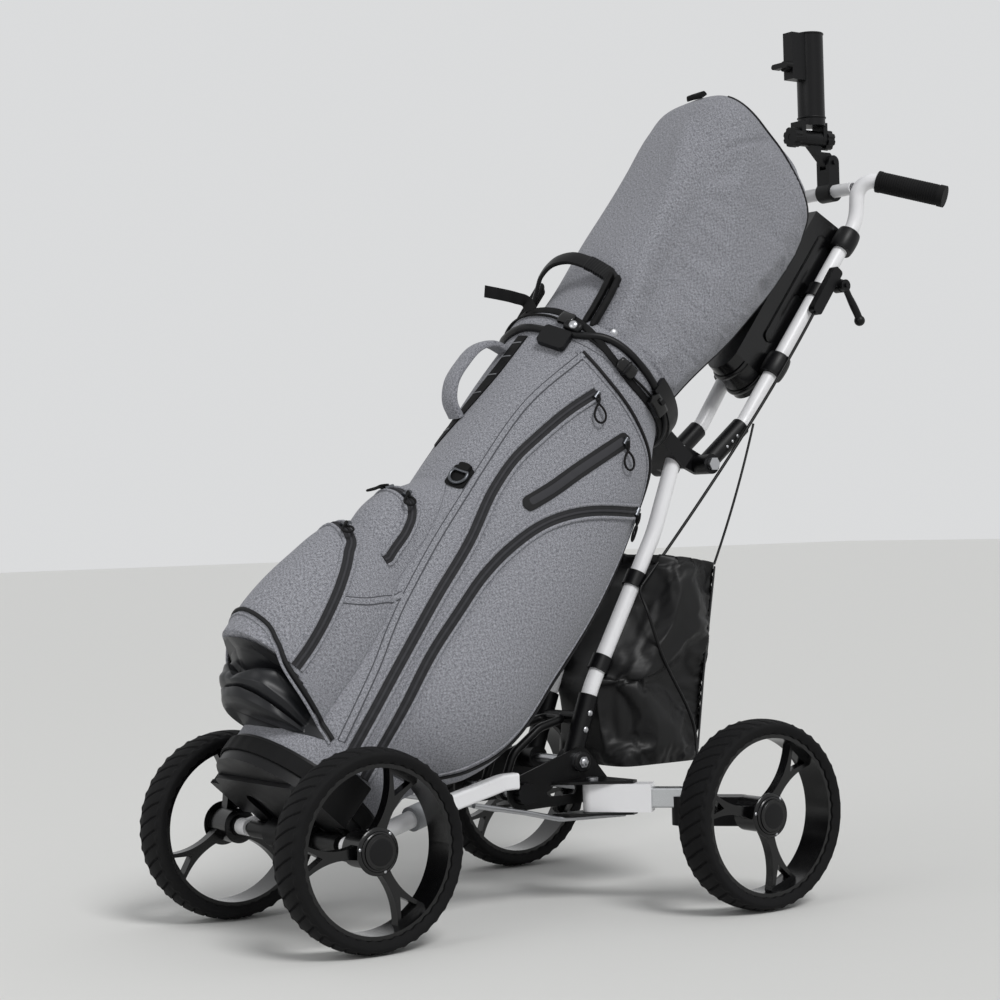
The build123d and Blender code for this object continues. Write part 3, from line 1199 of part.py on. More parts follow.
with BuildPart() as store:
    with BuildSketch(across(-STORE_HALF_X, 0, 0)):
        with BuildLine():
            Polyline(
                (store_front(STORE_KNEE) + 5, STORE_LOW),
                (store_front(STORE_KNEE), STORE_KNEE),
                (store_front(STORE_TOP), STORE_TOP),
                (store_front(STORE_TOP) + STORE_TOP_DEPTH, STORE_TOP - 4),
                (store_front(STORE_KNEE) + STORE_LOW_DEPTH, STORE_LOW),
                close=True,
            )
        make_face()
    extrude(amount=2 * STORE_HALF_X)
    fillet(store.edges().filter_by(lambda e: abs(e.center().X) > STORE_HALF_X - 1), STORE_ROUND)
    with BuildSketch(across(STORE_WALL - STORE_HALF_X, 0, 0)):
        with BuildLine():
            Polyline(
                (store_front(STORE_KNEE) + 5 + STORE_WALL, STORE_LOW + STORE_WALL),
                (store_front(STORE_KNEE) + STORE_WALL, STORE_KNEE),
                (store_front(STORE_TOP) + STORE_WALL, STORE_TOP),
                (store_front(STORE_TOP) + STORE_TOP_DEPTH - STORE_WALL, STORE_TOP),
                (store_front(STORE_KNEE) + STORE_LOW_DEPTH - STORE_WALL, STORE_LOW + STORE_WALL),
                close=True,
            )
        make_face()
    extrude(amount=2 * (STORE_HALF_X - STORE_WALL), mode=Mode.SUBTRACT)
pieces["storage_bag"] = store.part

BAND_HEIGHT = 24
with BuildPart() as bands:
    for along in (26, 172):
        with BuildSketch(Plane(origin=Vector(*SLEEVE_TOP) + UPRIGHT_RUN * along, z_dir=UPRIGHT_RUN)):
            Circle(BAND_R)
            Circle(TUBE_R + FIT, mode=Mode.SUBTRACT)
        extrude(amount=BAND_HEIGHT)
    mirror(about=Plane.YZ)
pieces["storage_bands"] = bands.part

# Cords: the brake cable down to the left rear block, and the cord that holds the storage bag's corner

CABLE_R = 2.5
CORD_R = 2


def cord_radii(points):
    """Largest arc that each corner's shorter run allows."""
    radii = []
    for before, corner, after in zip(points, points[1:], points[2:]):
        come = Vector(*corner) - Vector(*before)
        go = Vector(*after) - Vector(*corner)
        shorter = min(come.length, go.length)
        radii.append(0.45 * shorter / tan(radians(come.get_angle(go)) / 2))
    return radii


def make_cord(points, radius):
    """Round cord along straight runs joined by tangent arcs."""
    radii = cord_radii(points)
    with BuildPart() as cord:
        with BuildLine():
            FilletPolyline(*points, radius=radii)
        with BuildSketch(facing(points[0], points[1])):
            Circle(radius)
        sweep()
    return cord.part


def beside(x, y, z):
    """Point given from the uprights' foot pivot, at an X beyond the storage bag's side or the tubes."""
    return (x, FOOT_Y + y, FOOT_Z + z)


cable_start = BRAKE.from_local_coords(Vector(BRAKE_LOW - GAP, 0, BRAKE_THICK / 2))
TUBE_SIDE_X = UPRIGHT_X + SLEEVE_R + 4
STORE_SIDE_X = STORE_HALF_X + 2 * CABLE_R + 1
KNEE_SIDE = (HANDLE_X + SLEEVE_R + 3.3, FOLD_Y + 94, FOLD_Z + 64)
TIE_END = beside(TUBE_SIDE_X, 133, 263)
pieces["brake_cable_upper"] = make_cord([tuple(cable_start), KNEE_SIDE, TIE_END], CABLE_R)
pieces["brake_cable_lower"] = make_cord(
    [
        beside(TUBE_SIDE_X, 132.4, 262.4),
        beside(TUBE_SIDE_X + 1, 125, 254),
        beside(TUBE_SIDE_X + 15, 121, 240),
        beside(STORE_SIDE_X, 122, 216),
        beside(STORE_SIDE_X + 0.5, 146, 147),
        beside(STORE_SIDE_X + 0.5, 200, 62),
        beside(STORE_SIDE_X + 3, 209, 15),
        beside(REAR_BLOCK_X - 139, 191, -20),
        beside(REAR_BLOCK_X - 84, 152, -40),
        (REAR_BLOCK_X - 42, REAR_AXLE_Y - 29, REAR_BLOCK_TOP + CABLE_R + GAP),
    ],
    CABLE_R,
)
STORE_CORNER = (STORE_HALF_X - STORE_ROUND - 2, store_front(STORE_TOP) + STORE_TOP_DEPTH - 3, STORE_TOP - 1.5)
CORD_KNEE = (HANDLE_X + 10.7, FOLD_Y + 95.1, FOLD_Z + 64.3)
CORD_SAG = (STORE_HALF_X - 14, FOLD_Y + 44, FOLD_Z - 52)
pieces["storage_cord"] = make_cord([CORD_KNEE, CORD_SAG, STORE_CORNER], CORD_R)

# Row frame: the origin goes on the ground under the middle of the whole box

low_y = min(piece.bounding_box().min.Y for piece in pieces.values())
high_y = max(piece.bounding_box().max.Y for piece in pieces.values())
MIDDLE_Y = (low_y + high_y) / 2
print(f"row origin is at y = {MIDDLE_Y:.4f}, {len(pieces)} nodes")
for node, piece in pieces.items():
    seated = piece.moved(Location((0, -MIDDLE_Y, 0)))
    seated.label = node
    export_step(seated, f"parts/{node}.step")
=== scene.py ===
"""Looks of a golf bag on a folding push cart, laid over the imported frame.

Sizes are written in millimetres in the row frame: -Y is the cart's front, +X its left and +Z up.
Points on the bag are written as x, u along the bag from its foot, and w out towards its front.
"""

import json
import math

import bpy
import numpy as np
from mathutils import Matrix, Vector


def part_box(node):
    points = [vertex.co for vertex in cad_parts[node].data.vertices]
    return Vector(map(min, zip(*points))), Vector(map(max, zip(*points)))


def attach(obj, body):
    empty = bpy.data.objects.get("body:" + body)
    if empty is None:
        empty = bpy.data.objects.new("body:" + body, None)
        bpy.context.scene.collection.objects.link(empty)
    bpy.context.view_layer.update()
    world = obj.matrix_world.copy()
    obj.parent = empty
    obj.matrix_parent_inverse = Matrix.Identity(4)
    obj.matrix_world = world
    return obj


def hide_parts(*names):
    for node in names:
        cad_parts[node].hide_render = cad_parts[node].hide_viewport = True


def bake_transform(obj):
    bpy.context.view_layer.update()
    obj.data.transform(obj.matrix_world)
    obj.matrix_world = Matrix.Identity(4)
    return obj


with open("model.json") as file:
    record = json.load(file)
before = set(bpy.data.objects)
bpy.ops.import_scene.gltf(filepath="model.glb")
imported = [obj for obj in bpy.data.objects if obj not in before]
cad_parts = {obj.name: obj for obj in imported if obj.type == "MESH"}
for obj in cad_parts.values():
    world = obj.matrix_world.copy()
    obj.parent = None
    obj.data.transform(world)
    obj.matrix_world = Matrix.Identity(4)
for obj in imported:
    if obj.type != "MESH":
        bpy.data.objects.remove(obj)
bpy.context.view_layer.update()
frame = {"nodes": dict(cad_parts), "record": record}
cad = frame["nodes"]
scene = bpy.context.scene

# Camera

EYE = Vector((2.8100, -2.1672, 0.5809))
LOOK = Vector((-0.81124, 0.58464, 0.00933))
ROLL = math.radians(-1.57)
LENS = 81.9


def place_camera():
    """Camera at EYE: right is LOOK x Z and up is right x LOOK, both turned about LOOK by ROLL."""
    look = LOOK.normalized()
    right = look.cross(Vector((0, 0, 1))).normalized()
    up = right.cross(look)
    across = right * math.cos(ROLL) + up * math.sin(ROLL)
    over = up * math.cos(ROLL) - right * math.sin(ROLL)
    camera = bpy.data.objects.new("camera", bpy.data.cameras.new("camera"))
    camera.data.lens = LENS
    camera.matrix_world = Matrix((across, over, -look)).transposed().to_4x4()
    camera.matrix_world.translation = EYE
    scene.collection.objects.link(camera)
    scene.camera = camera


place_camera()

# Shader nodes and finishes


def linear(code):
    """sRGB hex code to linear RGBA: c / 12.92 below 0.04045, else ((c + 0.055) / 1.055) ** 2.4."""
    parts = [int(code[i : i + 2], 16) / 255 for i in (1, 3, 5)]
    return [c / 12.92 if c < 0.04045 else ((c + 0.055) / 1.055) ** 2.4 for c in parts] + [1.0]


def add_node(tree, kind, inputs=None, feeds=None, **settings):
    """One shader node: settings are its attributes, and inputs maps a socket to a value or an output.

    feeds is the socket that its first output goes to.
    """
    node = tree.nodes.new(kind)
    for key, value in settings.items():
        setattr(node, key, value)
    for key, value in (inputs or {}).items():
        if isinstance(value, bpy.types.NodeSocket):
            tree.links.new(value, node.inputs[key])
        else:
            node.inputs[key].default_value = value
    if feeds is not None:
        tree.links.new(node.outputs[0], feeds)
    return node


def new_finish(name, colour, **sockets):
    """Principled material of one colour, with the named sockets set on the shader itself."""
    material = bpy.data.materials.new(name)
    material.use_nodes = True
    shader = material.node_tree.nodes["Principled BSDF"]
    shader.inputs["Base Color"].default_value = linear(colour)
    for key, value in sockets.items():
        shader.inputs[key.replace("_", " ")].default_value = value
    return material, material.node_tree, shader


def make_heather(name, dark, light):
    """Polyester canvas of mixed grey yarns: short streaks both ways give a salt-and-pepper cloth.

    Real yarns are 0.4 mm wide, too fine to show, so the streaks are 1 mm by 4 mm.
    """
    matt = {"Roughness": 0.9, "Specular_IOR_Level": 0.25, "Sheen_Weight": 0.08}
    material, tree, shader = new_finish(name, light, **matt)
    where = add_node(tree, "ShaderNodeTexCoord").outputs
    streaks = []
    for cells in ((1000, 240, 1), (240, 1000, 1)):
        laid = add_node(tree, "ShaderNodeMapping", {"Vector": where["UV"], "Scale": cells})
        noise = {"Vector": laid.outputs[0], "Scale": 1.0, "Detail": 3.0, "Roughness": 0.7}
        streaks.append(add_node(tree, "ShaderNodeTexNoise", noise).outputs["Fac"])
    yarn = add_node(tree, "ShaderNodeMath", {0: streaks[0], 1: streaks[1]}, operation="ADD").outputs[0]
    share = add_node(tree, "ShaderNodeMapRange", {"Value": yarn, "From Min": 0.86, "From Max": 1.14})
    mix = {0: share.outputs["Result"], 6: linear(dark), 7: linear(light)}
    yarns = add_node(tree, "ShaderNodeMix", mix, data_type="RGBA")
    tree.links.new(yarns.outputs[2], shader.inputs["Base Color"])
    relief = {"Height": yarn, "Strength": 0.14, "Distance": 0.0006}
    add_node(tree, "ShaderNodeBump", relief, shader.inputs["Normal"])
    return material


def make_nylon(name, code, rough, crease):
    """Thin coated nylon: dark, with a satin light on its folds and creases of so many cells per metre."""
    coat = {"Roughness": rough, "Specular_IOR_Level": 0.3, "Sheen_Weight": 0.04}
    material, tree, shader = new_finish(name, code, **coat)
    place = add_node(tree, "ShaderNodeTexCoord").outputs["Object"]
    folds = {"Vector": place, "Scale": crease, "Detail": 4.0, "Distortion": 0.6}
    noise = add_node(tree, "ShaderNodeTexNoise", folds, noise_type="RIDGED_MULTIFRACTAL").outputs["Fac"]
    relief = {"Height": noise, "Strength": 0.5, "Distance": 0.0015}
    add_node(tree, "ShaderNodeBump", relief, shader.inputs["Normal"])
    return material


def make_webbing(name, code, pitch):
    """Woven strap: ribs across its length, one every pitch metres, that catch the light."""
    material, tree, shader = new_finish(name, code, Roughness=0.75, Specular_IOR_Level=0.2)
    where = add_node(tree, "ShaderNodeTexCoord").outputs["UV"]
    bands = {"Vector": where, "Scale": 0.05 / pitch}
    wave = add_node(tree, "ShaderNodeTexWave", bands, bands_direction="Y", wave_profile="SIN")
    relief = {"Height": wave.outputs["Fac"], "Strength": 0.6, "Distance": 0.0012}
    add_node(tree, "ShaderNodeBump", relief, shader.inputs["Normal"])
    return material


def make_moulded(name, code, rough, grain, shine=0.25):
    """Moulded or coated surface with a fine grain of so many cells per metre, rougher in faint clouds."""
    material, tree, shader = new_finish(name, code, Roughness=rough, Specular_IOR_Level=shine)
    place = add_node(tree, "ShaderNodeTexCoord").outputs["Object"]
    spread = {"Vector": place, "Scale": 22.0, "Detail": 2.0}
    cloud = add_node(tree, "ShaderNodeTexNoise", spread).outputs["Fac"]
    range_of = {"Value": cloud, "To Min": rough - 0.08, "To Max": rough + 0.1}
    add_node(tree, "ShaderNodeMapRange", range_of, shader.inputs["Roughness"])
    noise = add_node(tree, "ShaderNodeTexNoise", {"Vector": place, "Scale": grain}).outputs["Fac"]
    relief = {"Height": noise, "Strength": 0.18, "Distance": 0.0006}
    add_node(tree, "ShaderNodeBump", relief, shader.inputs["Normal"])
    return material


def make_bare_metal(name, code, rough, streak):
    """Bare metal whose roughness varies in drawn streaks of so many cells per metre each way."""
    material, tree, shader = new_finish(name, code, Metallic=1.0)
    place = add_node(tree, "ShaderNodeTexCoord").outputs["Object"]
    drawn = add_node(tree, "ShaderNodeMapping", {"Vector": place, "Scale": streak}).outputs[0]
    noise = add_node(tree, "ShaderNodeTexNoise", {"Vector": drawn, "Scale": 1.0}).outputs["Fac"]
    range_of = {"Value": noise, "To Min": rough - 0.08, "To Max": rough + 0.12}
    add_node(tree, "ShaderNodeMapRange", range_of, shader.inputs["Roughness"])
    return material


# Grey canvas of the bag and hood: mixed yarns, matt, lighter and darker flecks side by side
heather = make_heather("heather_polyester_canvas", "#5e5f65", "#a1a2a8")
# Thin coated cloth of the storage bag: black, satin along its creases
nylon = make_nylon("coated_nylon_cloth", "#0c0c0d", 0.46, 26)
# Lining cloth of the lower pouch: smoother, and its black lifted to a dark grey all over as painted sheen
# for the fold that catches the light
pouch_satin_painted_sheen = make_nylon("satin_pouch_nylon_painted_sheen", "#16171a", 0.36, 18)
# Straps: ribs across the weave
webbing = make_webbing("black_polyester_webbing", "#0b0b0c", 0.004)
# Zips: flat woven tape and a ribbed nylon coil
zip_tape = make_webbing("zip_tape", "#2a2a2c", 0.003)
zip_coil = make_webbing("zip_coil", "#38383b", 0.003)
# Bias binding and piping: matt black
binding = make_nylon("binding_tape", "#101012", 0.7, 60)
# Stitching: grey thread, darker than the canvas as painted shade in the grooves along each seam
seam_thread_painted_shade = new_finish("grey_seam_thread_painted_shade", "#4c4d52", Roughness=0.8)[0]
# Bar tacks on the webbing: thread lighter than the webbing, as painted highlights on the daisy chain's
# loops
tack_thread_painted_highlight = new_finish("bar_tack_thread_painted_highlight", "#6f7074", Roughness=0.6)[0]
# Braided elastic: fine ribs round the cord
shock_cord = make_webbing("braided_cord", "#0c0c0d", 0.003)
# Polished mouldings: wheels, hubs and console reflect clearly
gloss = make_moulded("gloss_black_nylon_moulding", "#070708", 0.2, 600, 0.45)
# Spark-eroded mouldings: brackets and sleeves with a soft light
satin = make_moulded("satin_black_moulding", "#08080a", 0.4, 900)
# Powder coats: faint orange peel
steel_black = make_moulded("black_powder_coat", "#09090a", 0.34, 1500)
white = make_moulded("white_powder_coat", "#ececee", 0.3, 1200, 0.5)
# Collars of the front arms: even mid grey, neither shiny nor dull
collar_grey = make_moulded("grey_collar_moulding", "#8d8f92", 0.45, 900)
# Bright fittings: plated steel is clouded, and drawn tube is streaked along its length
zinc = make_bare_metal("zinc_plated_steel", "#b9babd", 0.3, (300, 300, 300))
bare_tube = make_bare_metal("drawn_aluminium", "#c6c8ca", 0.28, (900, 60, 900))
# Zip sliders and the ring: dark plating with a dull shine
gunmetal = make_bare_metal("gunmetal_plating", "#5e6064", 0.32, (400, 400, 400))
# Foamed rubber: matt and slightly dusty
foam_tyre = make_moulded("foam_rubber_tyre", "#0e0e0f", 0.8, 700, 0.2)
grip_foam = make_moulded("foam_grip", "#0b0b0c", 0.72, 900, 0.22)
# Brake cable's sheath: smooth, with a soft line of light
sheath = make_moulded("cable_sheath", "#0d0d0e", 0.4, 900)
FINISH = {
    "tyre": foam_tyre, "black_gloss": gloss, "white_paint": white, "steel": zinc,
    "aluminium": bare_tube, "grey_collar": collar_grey, "black_plastic": satin,
    "black_metal": steel_black, "grip": grip_foam, "grey_fabric": heather, "black_fabric": nylon,
    "cable": sheath,
}

# Surfaces


def hermite(t, at, values):
    """Cubic through values at the places at: slopes from the neighbours, held flat beyond the ends."""
    at, values = np.asarray(at, float), np.asarray(values, float)
    slope = np.gradient(values, at, axis=0)
    t = np.clip(t, at[0], at[-1])
    i = np.clip(np.searchsorted(at, t) - 1, 0, len(at) - 2)
    width = at[i + 1] - at[i]
    f = (t - at[i]) / width
    if values.ndim > 1:
        width, f = width[..., None], f[..., None]
    first = (2 * f**3 - 3 * f**2 + 1) * values[i] + (f**3 - 2 * f**2 + f) * width * slope[i]
    return first + (3 * f**2 - 2 * f**3) * values[i + 1] + (f**3 - f**2) * width * slope[i + 1]


def run_along(points):
    """Distance along a path at each of its points: the sum of the chords so far."""
    return np.append(0, np.cumsum(np.linalg.norm(np.diff(points, axis=0), axis=1)))


def through(points, count):
    """Smooth path of count points through the given ones, spaced by chord length."""
    points = np.asarray(points, float)
    at = run_along(points)
    return hermite(np.linspace(0, at[-1], count), at, points)


def unit(vectors):
    """Vectors divided by their lengths."""
    return vectors / np.linalg.norm(vectors, axis=-1, keepdims=True)


def full_turn(count):
    """Even angles once round a circle, in radians."""
    return np.linspace(0, 2 * math.pi, count + 1)[:-1]


def square_share(turn):
    """Reach at that turn of the rounded square |x|^7 + |y|^7 = 1."""
    return (np.abs(np.sin(turn)) ** 7 + np.abs(np.cos(turn)) ** 7) ** (-1 / 7)


def stretch(turn, u, over=0.0, up=0.0):
    """Three control points in line: a middle one, and one over and up on each side of it."""
    return [(turn - over, u - up), (turn, u), (turn + over, u + up)]


def arch_over(near, crown):
    """Line over the front: the near half mirrored, the crown at turn 0, then the near half from its top."""
    return [(-turn, u) for turn, u in near] + [(0, crown)] + near[::-1]


def sweep(path, profile, out):
    """Profile of (side, lift) carried along a path: side lies along tangent x out, lift square to both."""
    tangent = unit(np.gradient(path, axis=0))
    side = unit(np.cross(tangent, np.broadcast_to(out, path.shape)))
    lift = np.cross(side, tangent)
    return path[:, None] + profile[None, :, :1] * side[:, None] + profile[None, :, 1:] * lift[:, None]


def round_bar(radius, count=12):
    """Circle of count points."""
    turn = np.arange(count) * 2 * math.pi / count
    return radius * np.stack([np.cos(turn), np.sin(turn)], axis=1)


def flat_bar(width, thick, crown=0.0):
    """Strap's outline: flat foot, rounded edges, top raised by crown at its middle."""
    half, edge = width / 2, min(thick, width) * 0.3
    top = [(half, edge), (half - edge, thick), (half / 2, thick + crown * 0.75), (0, thick + crown)]
    left = [(-x, y) for x, y in top[-2::-1]]
    return np.array([(half - edge / 2, 0)] + top + left + [(edge / 2 - half, 0), (0, 0)])


def make_piece(name, points, finish, body="golf_bag", loop=False, ring=False, ends=False, sharp=50):
    """Mesh over a grid of points in mm: a quad joins each four neighbours, and the UV map is in metres.

    loop joins the last column to the first, ring the last row to the first, and ends closes both end rows.
    """
    rows, columns = points.shape[:2]
    index = np.arange(rows * columns).reshape(rows, columns)
    laid = points
    if loop:
        index, laid = np.hstack([index, index[:, :1]]), np.hstack([laid, laid[:, :1]])
    if ring:
        index, laid = np.vstack([index, index[:1]]), np.vstack([laid, laid[:1]])
    down = np.append(0, np.cumsum(np.linalg.norm(np.diff(laid, axis=0), axis=2).mean(1)))
    over = np.append(0, np.cumsum(np.linalg.norm(np.diff(laid, axis=1), axis=2).mean(0)))
    uv = np.stack(np.meshgrid(over, down), axis=-1) / 1000

    def corners(grid):
        """Four corners of each cell of the grid, in order round it."""
        return np.stack([grid[:-1, :-1], grid[:-1, 1:], grid[1:, 1:], grid[1:, :-1]], axis=2)

    faces = corners(index).reshape(-1, 4).tolist()
    laid_uv = corners(uv).reshape(-1, 2)
    if ends:
        faces += [index[0, :columns][::-1].tolist(), index[-1, :columns].tolist()]
        laid_uv = np.vstack([laid_uv, np.zeros((2 * columns, 2))])
    mesh = bpy.data.meshes.new(name)
    mesh.from_pydata((points.reshape(-1, 3) / 1000).tolist(), [], faces)
    mesh.uv_layers.new(name="cloth").data.foreach_set("uv", laid_uv.ravel())
    mesh.polygons.foreach_set("use_smooth", np.ones(len(faces), bool))
    mesh.set_sharp_from_angle(angle=math.radians(sharp))
    mesh.materials.append(finish)
    piece = bpy.data.objects.new(name, mesh)
    scene.collection.objects.link(piece)
    if body:
        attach(piece, body)
    return piece


def make_bar(name, path, profile, out, finish, body="golf_bag"):
    """Closed bar: a profile carried along a path, with both ends capped."""
    return make_piece(name, sweep(path, profile, out), finish, body, loop=True, ends=True)


def make_hoop(name, path, profile, out, finish, body="golf_bag"):
    """Closed hoop: a profile carried round a closed path."""
    return make_piece(name, sweep(path, profile, out), finish, body, loop=True, ring=True)


# Cords


def cord_line(route):
    """Points along a NURBS spline of order 3 whose control points are the route's points."""
    curve = bpy.data.curves.new("route", "CURVE")
    curve.dimensions = "3D"
    spline = curve.splines.new("NURBS")
    spline.points.add(len(route) - 1)
    control = np.append(np.array(route) / 1000, np.ones((len(route), 1)), axis=1)
    spline.points.foreach_set("co", control.ravel())
    spline.order_u = 3
    spline.use_endpoint_u = True
    spline.resolution_u = 24
    holder = bpy.data.objects.new("route", curve)
    scene.collection.objects.link(holder)
    bpy.context.view_layer.update()
    line = bpy.data.meshes.new_from_object(holder)
    points = np.zeros(len(line.vertices) * 3)
    line.vertices.foreach_get("co", points)
    bpy.data.objects.remove(holder)
    return 1000 * points.reshape(-1, 3)


def make_cord(name, route, diameter, bodies, node, start, end):
    """Tube along a cord's line, in place of the frame's own cord part, which is hidden."""
    line = cord_line(route)
    piece = make_bar(name, line, round_bar(diameter / 2), (0.3, 0.1, 0.2), sheath, None)
    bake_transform(piece)
    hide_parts(node)


# Each cord's route, and two places along it
UPPER_CABLE = [(82.8, 445.0, 909.5), (71.8, 320.6, 727), (69.5, 75.6, 476)]
UPPER_BEND = (71, 310, 715), (70, 200, 600)
LOWER_CABLE = [(69.5, 75, 475.4), (70.5, 67.6, 467), (84.5, 63.6, 453), (98, 64.6, 429)]
LOWER_CABLE += [(98.5, 88.6, 360), (98.5, 142.6, 275), (101, 151.6, 228), (118.7, 133.6, 193)]
LOWER_CABLE += [(173.7, 94.6, 173), (215.7, 61.6, 165.8)]
LOWER_BEND = (101, 150, 230), (180, 90, 172)
STORE_CORD = [(63.7, 321.7, 727.3), (78, 270.6, 611), (78, 216.7, 503.5)]
STORE_BEND = (68, 300, 700), (78, 240, 580)
make_cord("upper_brake_cable", UPPER_CABLE, 5, ("handle", "base"), "brake_cable_upper", *UPPER_BEND)
make_cord("lower_brake_cable", LOWER_CABLE, 5, ("base", "rear_arm_left"), "brake_cable_lower", *LOWER_BEND)
make_cord("storage_bag_cord", STORE_CORD, 4, ("handle", "base"), "storage_cord", *STORE_BEND)

# Bag forms

FOOT = np.array([0, -536.41, 166.0])
LEAN = math.radians(48)
RUN = np.array([0, math.cos(LEAN), math.sin(LEAN)])
OUT = np.array([0, -math.sin(LEAN), math.cos(LEAN)])
LEFT = np.array([1.0, 0, 0])
# Words for the two sides of the cart and the two edges of a tape, each with its sign
SIDES = ("left", 1), ("right", -1)
EDGES = ("front", -1), ("rear", 1)
TUBE_U, TUBE_X, TUBE_W = (21, 835), (126, 142), (120, 138)
# Pockets: u, then the ellipse there: centre x, centre w, half x and half w
SIDE = np.array([
    (146, 62, -60, 62, 70), (230, 74, -74, 82, 102), (400, 76, -78, 88, 112),
    (560, 75, -72, 87, 108), (690, 72, -56, 82, 98), (796, 66, -40, 75, 86),
])
BALL = np.array([
    (140, 0, 106, 92, 134), (210, 0, 106, 93, 137), (300, 0, 104, 87, 126),
    (370, 0, 98, 69, 112), (420, 0, 92, 53, 80),
])
SMALL = np.array([
    (400, 4, 96, 70, 88), (430, 4, 96, 70, 88), (460, 3, 92, 69, 85), (490, 3, 88, 66, 78),
    (520, 2, 84, 62, 72),
])
POUCH = np.array([(64, 0, 84, 74, 76), (100, 0, 98, 86, 108), (140, 0, 104, 91, 131)])


def place_from(foot, run, out, x, u, w):
    """Foot plus x to the left, u along run and w along out."""
    x, u, w = np.broadcast_arrays(np.asarray(x, float), u, w)
    return foot + x[..., None] * LEFT + u[..., None] * run + w[..., None] * out


def bag_place(x, u, w):
    """Foot of the bag plus x to its left, u along its axis and w towards its front."""
    return place_from(FOOT, RUN, OUT, x, u, w)


def ease(value, low, high):
    """Quarter sine from 0 at low to 1 at high."""
    return np.sin(np.clip((value - low) / (high - low), 0, 1) * math.pi / 2)


def oval(turn, half_x, half_w):
    """Reach of an ellipse from its middle at that turn."""
    return 1 / np.hypot(np.sin(turn) / half_x, np.cos(turn) / half_w)


def pocket_reach(turn, u, stations, side=1):
    """Far root of the ray at that turn from the bag's axis and the pocket's ellipse at u."""
    x, w, half_x, half_w = (hermite(u, stations[:, 0], stations[:, k]) for k in (1, 2, 3, 4))
    sine, cosine = np.sin(turn), np.cos(turn)
    square = (sine / half_x) ** 2 + (cosine / half_w) ** 2
    middle = side * x * sine / half_x**2 + w * cosine / half_w**2
    rest = (x / half_x) ** 2 + (w / half_w) ** 2 - 1
    return (middle + np.sqrt(np.maximum(middle**2 - square * rest, 0))) / square


def bag_skin(turn, u):
    """Reach of the canvas from the axis: the tube's ellipse, swollen smoothly by both side pockets.

    Low waves of about 1 mm stand for the slack of the cloth between its seams.
    """
    tube = oval(turn, hermite(u, TUBE_U, TUBE_X), hermite(u, TUBE_U, TUBE_W))
    sides = np.maximum(pocket_reach(turn, u, SIDE, 1), pocket_reach(turn, u, SIDE, -1)) - tube
    swell = (sides + np.hypot(sides, 14)) / 2 * ease(u, 122, 200) * ease(-u, -822, -750)
    slack = np.sin(3 * turn + u / 61 + 1.1) * np.sin(u / 47 - 2 * turn) + 0.6 * np.sin(5 * turn - u / 33)
    return tube + swell + 0.8 * slack


def mouth_edge(turn):
    """u of the lower pouch's mouth: level across the front, then down along the arched piping."""
    return hermite(np.abs(np.degrees(turn)), (0, 20, 28, 39, 59, 90), (145, 147, 139, 122, 100, 92))


def ball_form(turn, u):
    """Reach of the ball pocket: its ellipse where that lies outside the canvas, rounded at its top."""
    canvas = bag_skin(turn, u)
    rise = np.maximum(pocket_reach(turn, u, BALL) - canvas, 0)
    return canvas + rise * ease(-u, -436, -376)


def ball_skin(turn, u):
    """Ball pocket above the mouth of the lower pouch, where its canvas ends in a lip."""
    canvas = bag_skin(turn, u)
    edge = mouth_edge(turn)
    return canvas + (ball_form(turn, u) - canvas) * ease(u, edge - 4, edge + 3)


def small_form(turn, u):
    """Reach of the small pocket: its ellipse where that lies outside the canvas, rounded at both ends."""
    canvas = bag_skin(turn, u)
    rise = np.maximum(pocket_reach(turn, u, SMALL) - canvas, 0)
    return canvas + rise * ease(u, 330, 392) * ease(-u, -530, -455)


def small_skin(turn, u):
    """Outer of the small pocket and the ball pocket in front of its lower end."""
    return np.maximum(small_form(turn, u), ball_form(turn, u))


# u of the cuff's top, where the hood stands
CUFF_U = 868
COLLAR_U = (822, 836, 858, CUFF_U, 884)


def collar_skin(turn, u):
    """Reach of the collar between bag and hood: an ellipse that swells 5 mm, then draws in to the hood."""
    half_x = hermite(u, COLLAR_U, (142, 146.5, 146.5, 142, 122))
    half_w = hermite(u, COLLAR_U, (138, 142.5, 142.5, 138, 118))
    return oval(turn, half_x, half_w)


def skin_points(skin, turn, u, lift=0.0):
    """Points on a skin at that turn and u, lifted off it along its ray."""
    reach = skin(turn, u) + lift
    return bag_place(reach * np.sin(turn), u, reach * np.cos(turn))


def lay_on(place, control, count):
    """Path on a surface through control points of (turn in degrees, height), and its outward normals."""
    path = through(control, count)
    turn, height = np.radians(path[:, 0]), path[:, 1]
    over = place(turn + 0.02, height) - place(turn - 0.02, height)
    up = place(turn, height + 3) - place(turn, height - 3)
    return place(turn, height), unit(np.cross(over, up))


def lay(skin, control, count):
    """Path on a skin of the bag through control points of (turn in degrees, u), and its normals."""
    return lay_on(lambda turn, u: skin_points(skin, turn, u), control, count)


# Bag pieces


def make_canvas():
    """Tube of canvas: its skin from the base to the cuff, and a lining 4 mm inside it."""
    turn, u = np.meshgrid(full_turn(280), np.linspace(52, 838, 190))
    outside = skin_points(bag_skin, turn, u)
    lining = skin_points(bag_skin, turn, u, -4.0)[::-10]
    wall = np.vstack([outside, lining])
    piece = make_piece("bag_canvas", wall, heather, loop=True, ring=True)
    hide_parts("bag_shell", "side_pocket_left", "side_pocket_right")


# A pocket has parted from the bag where its skin stands this far off the bag's
PARTED = 0.4


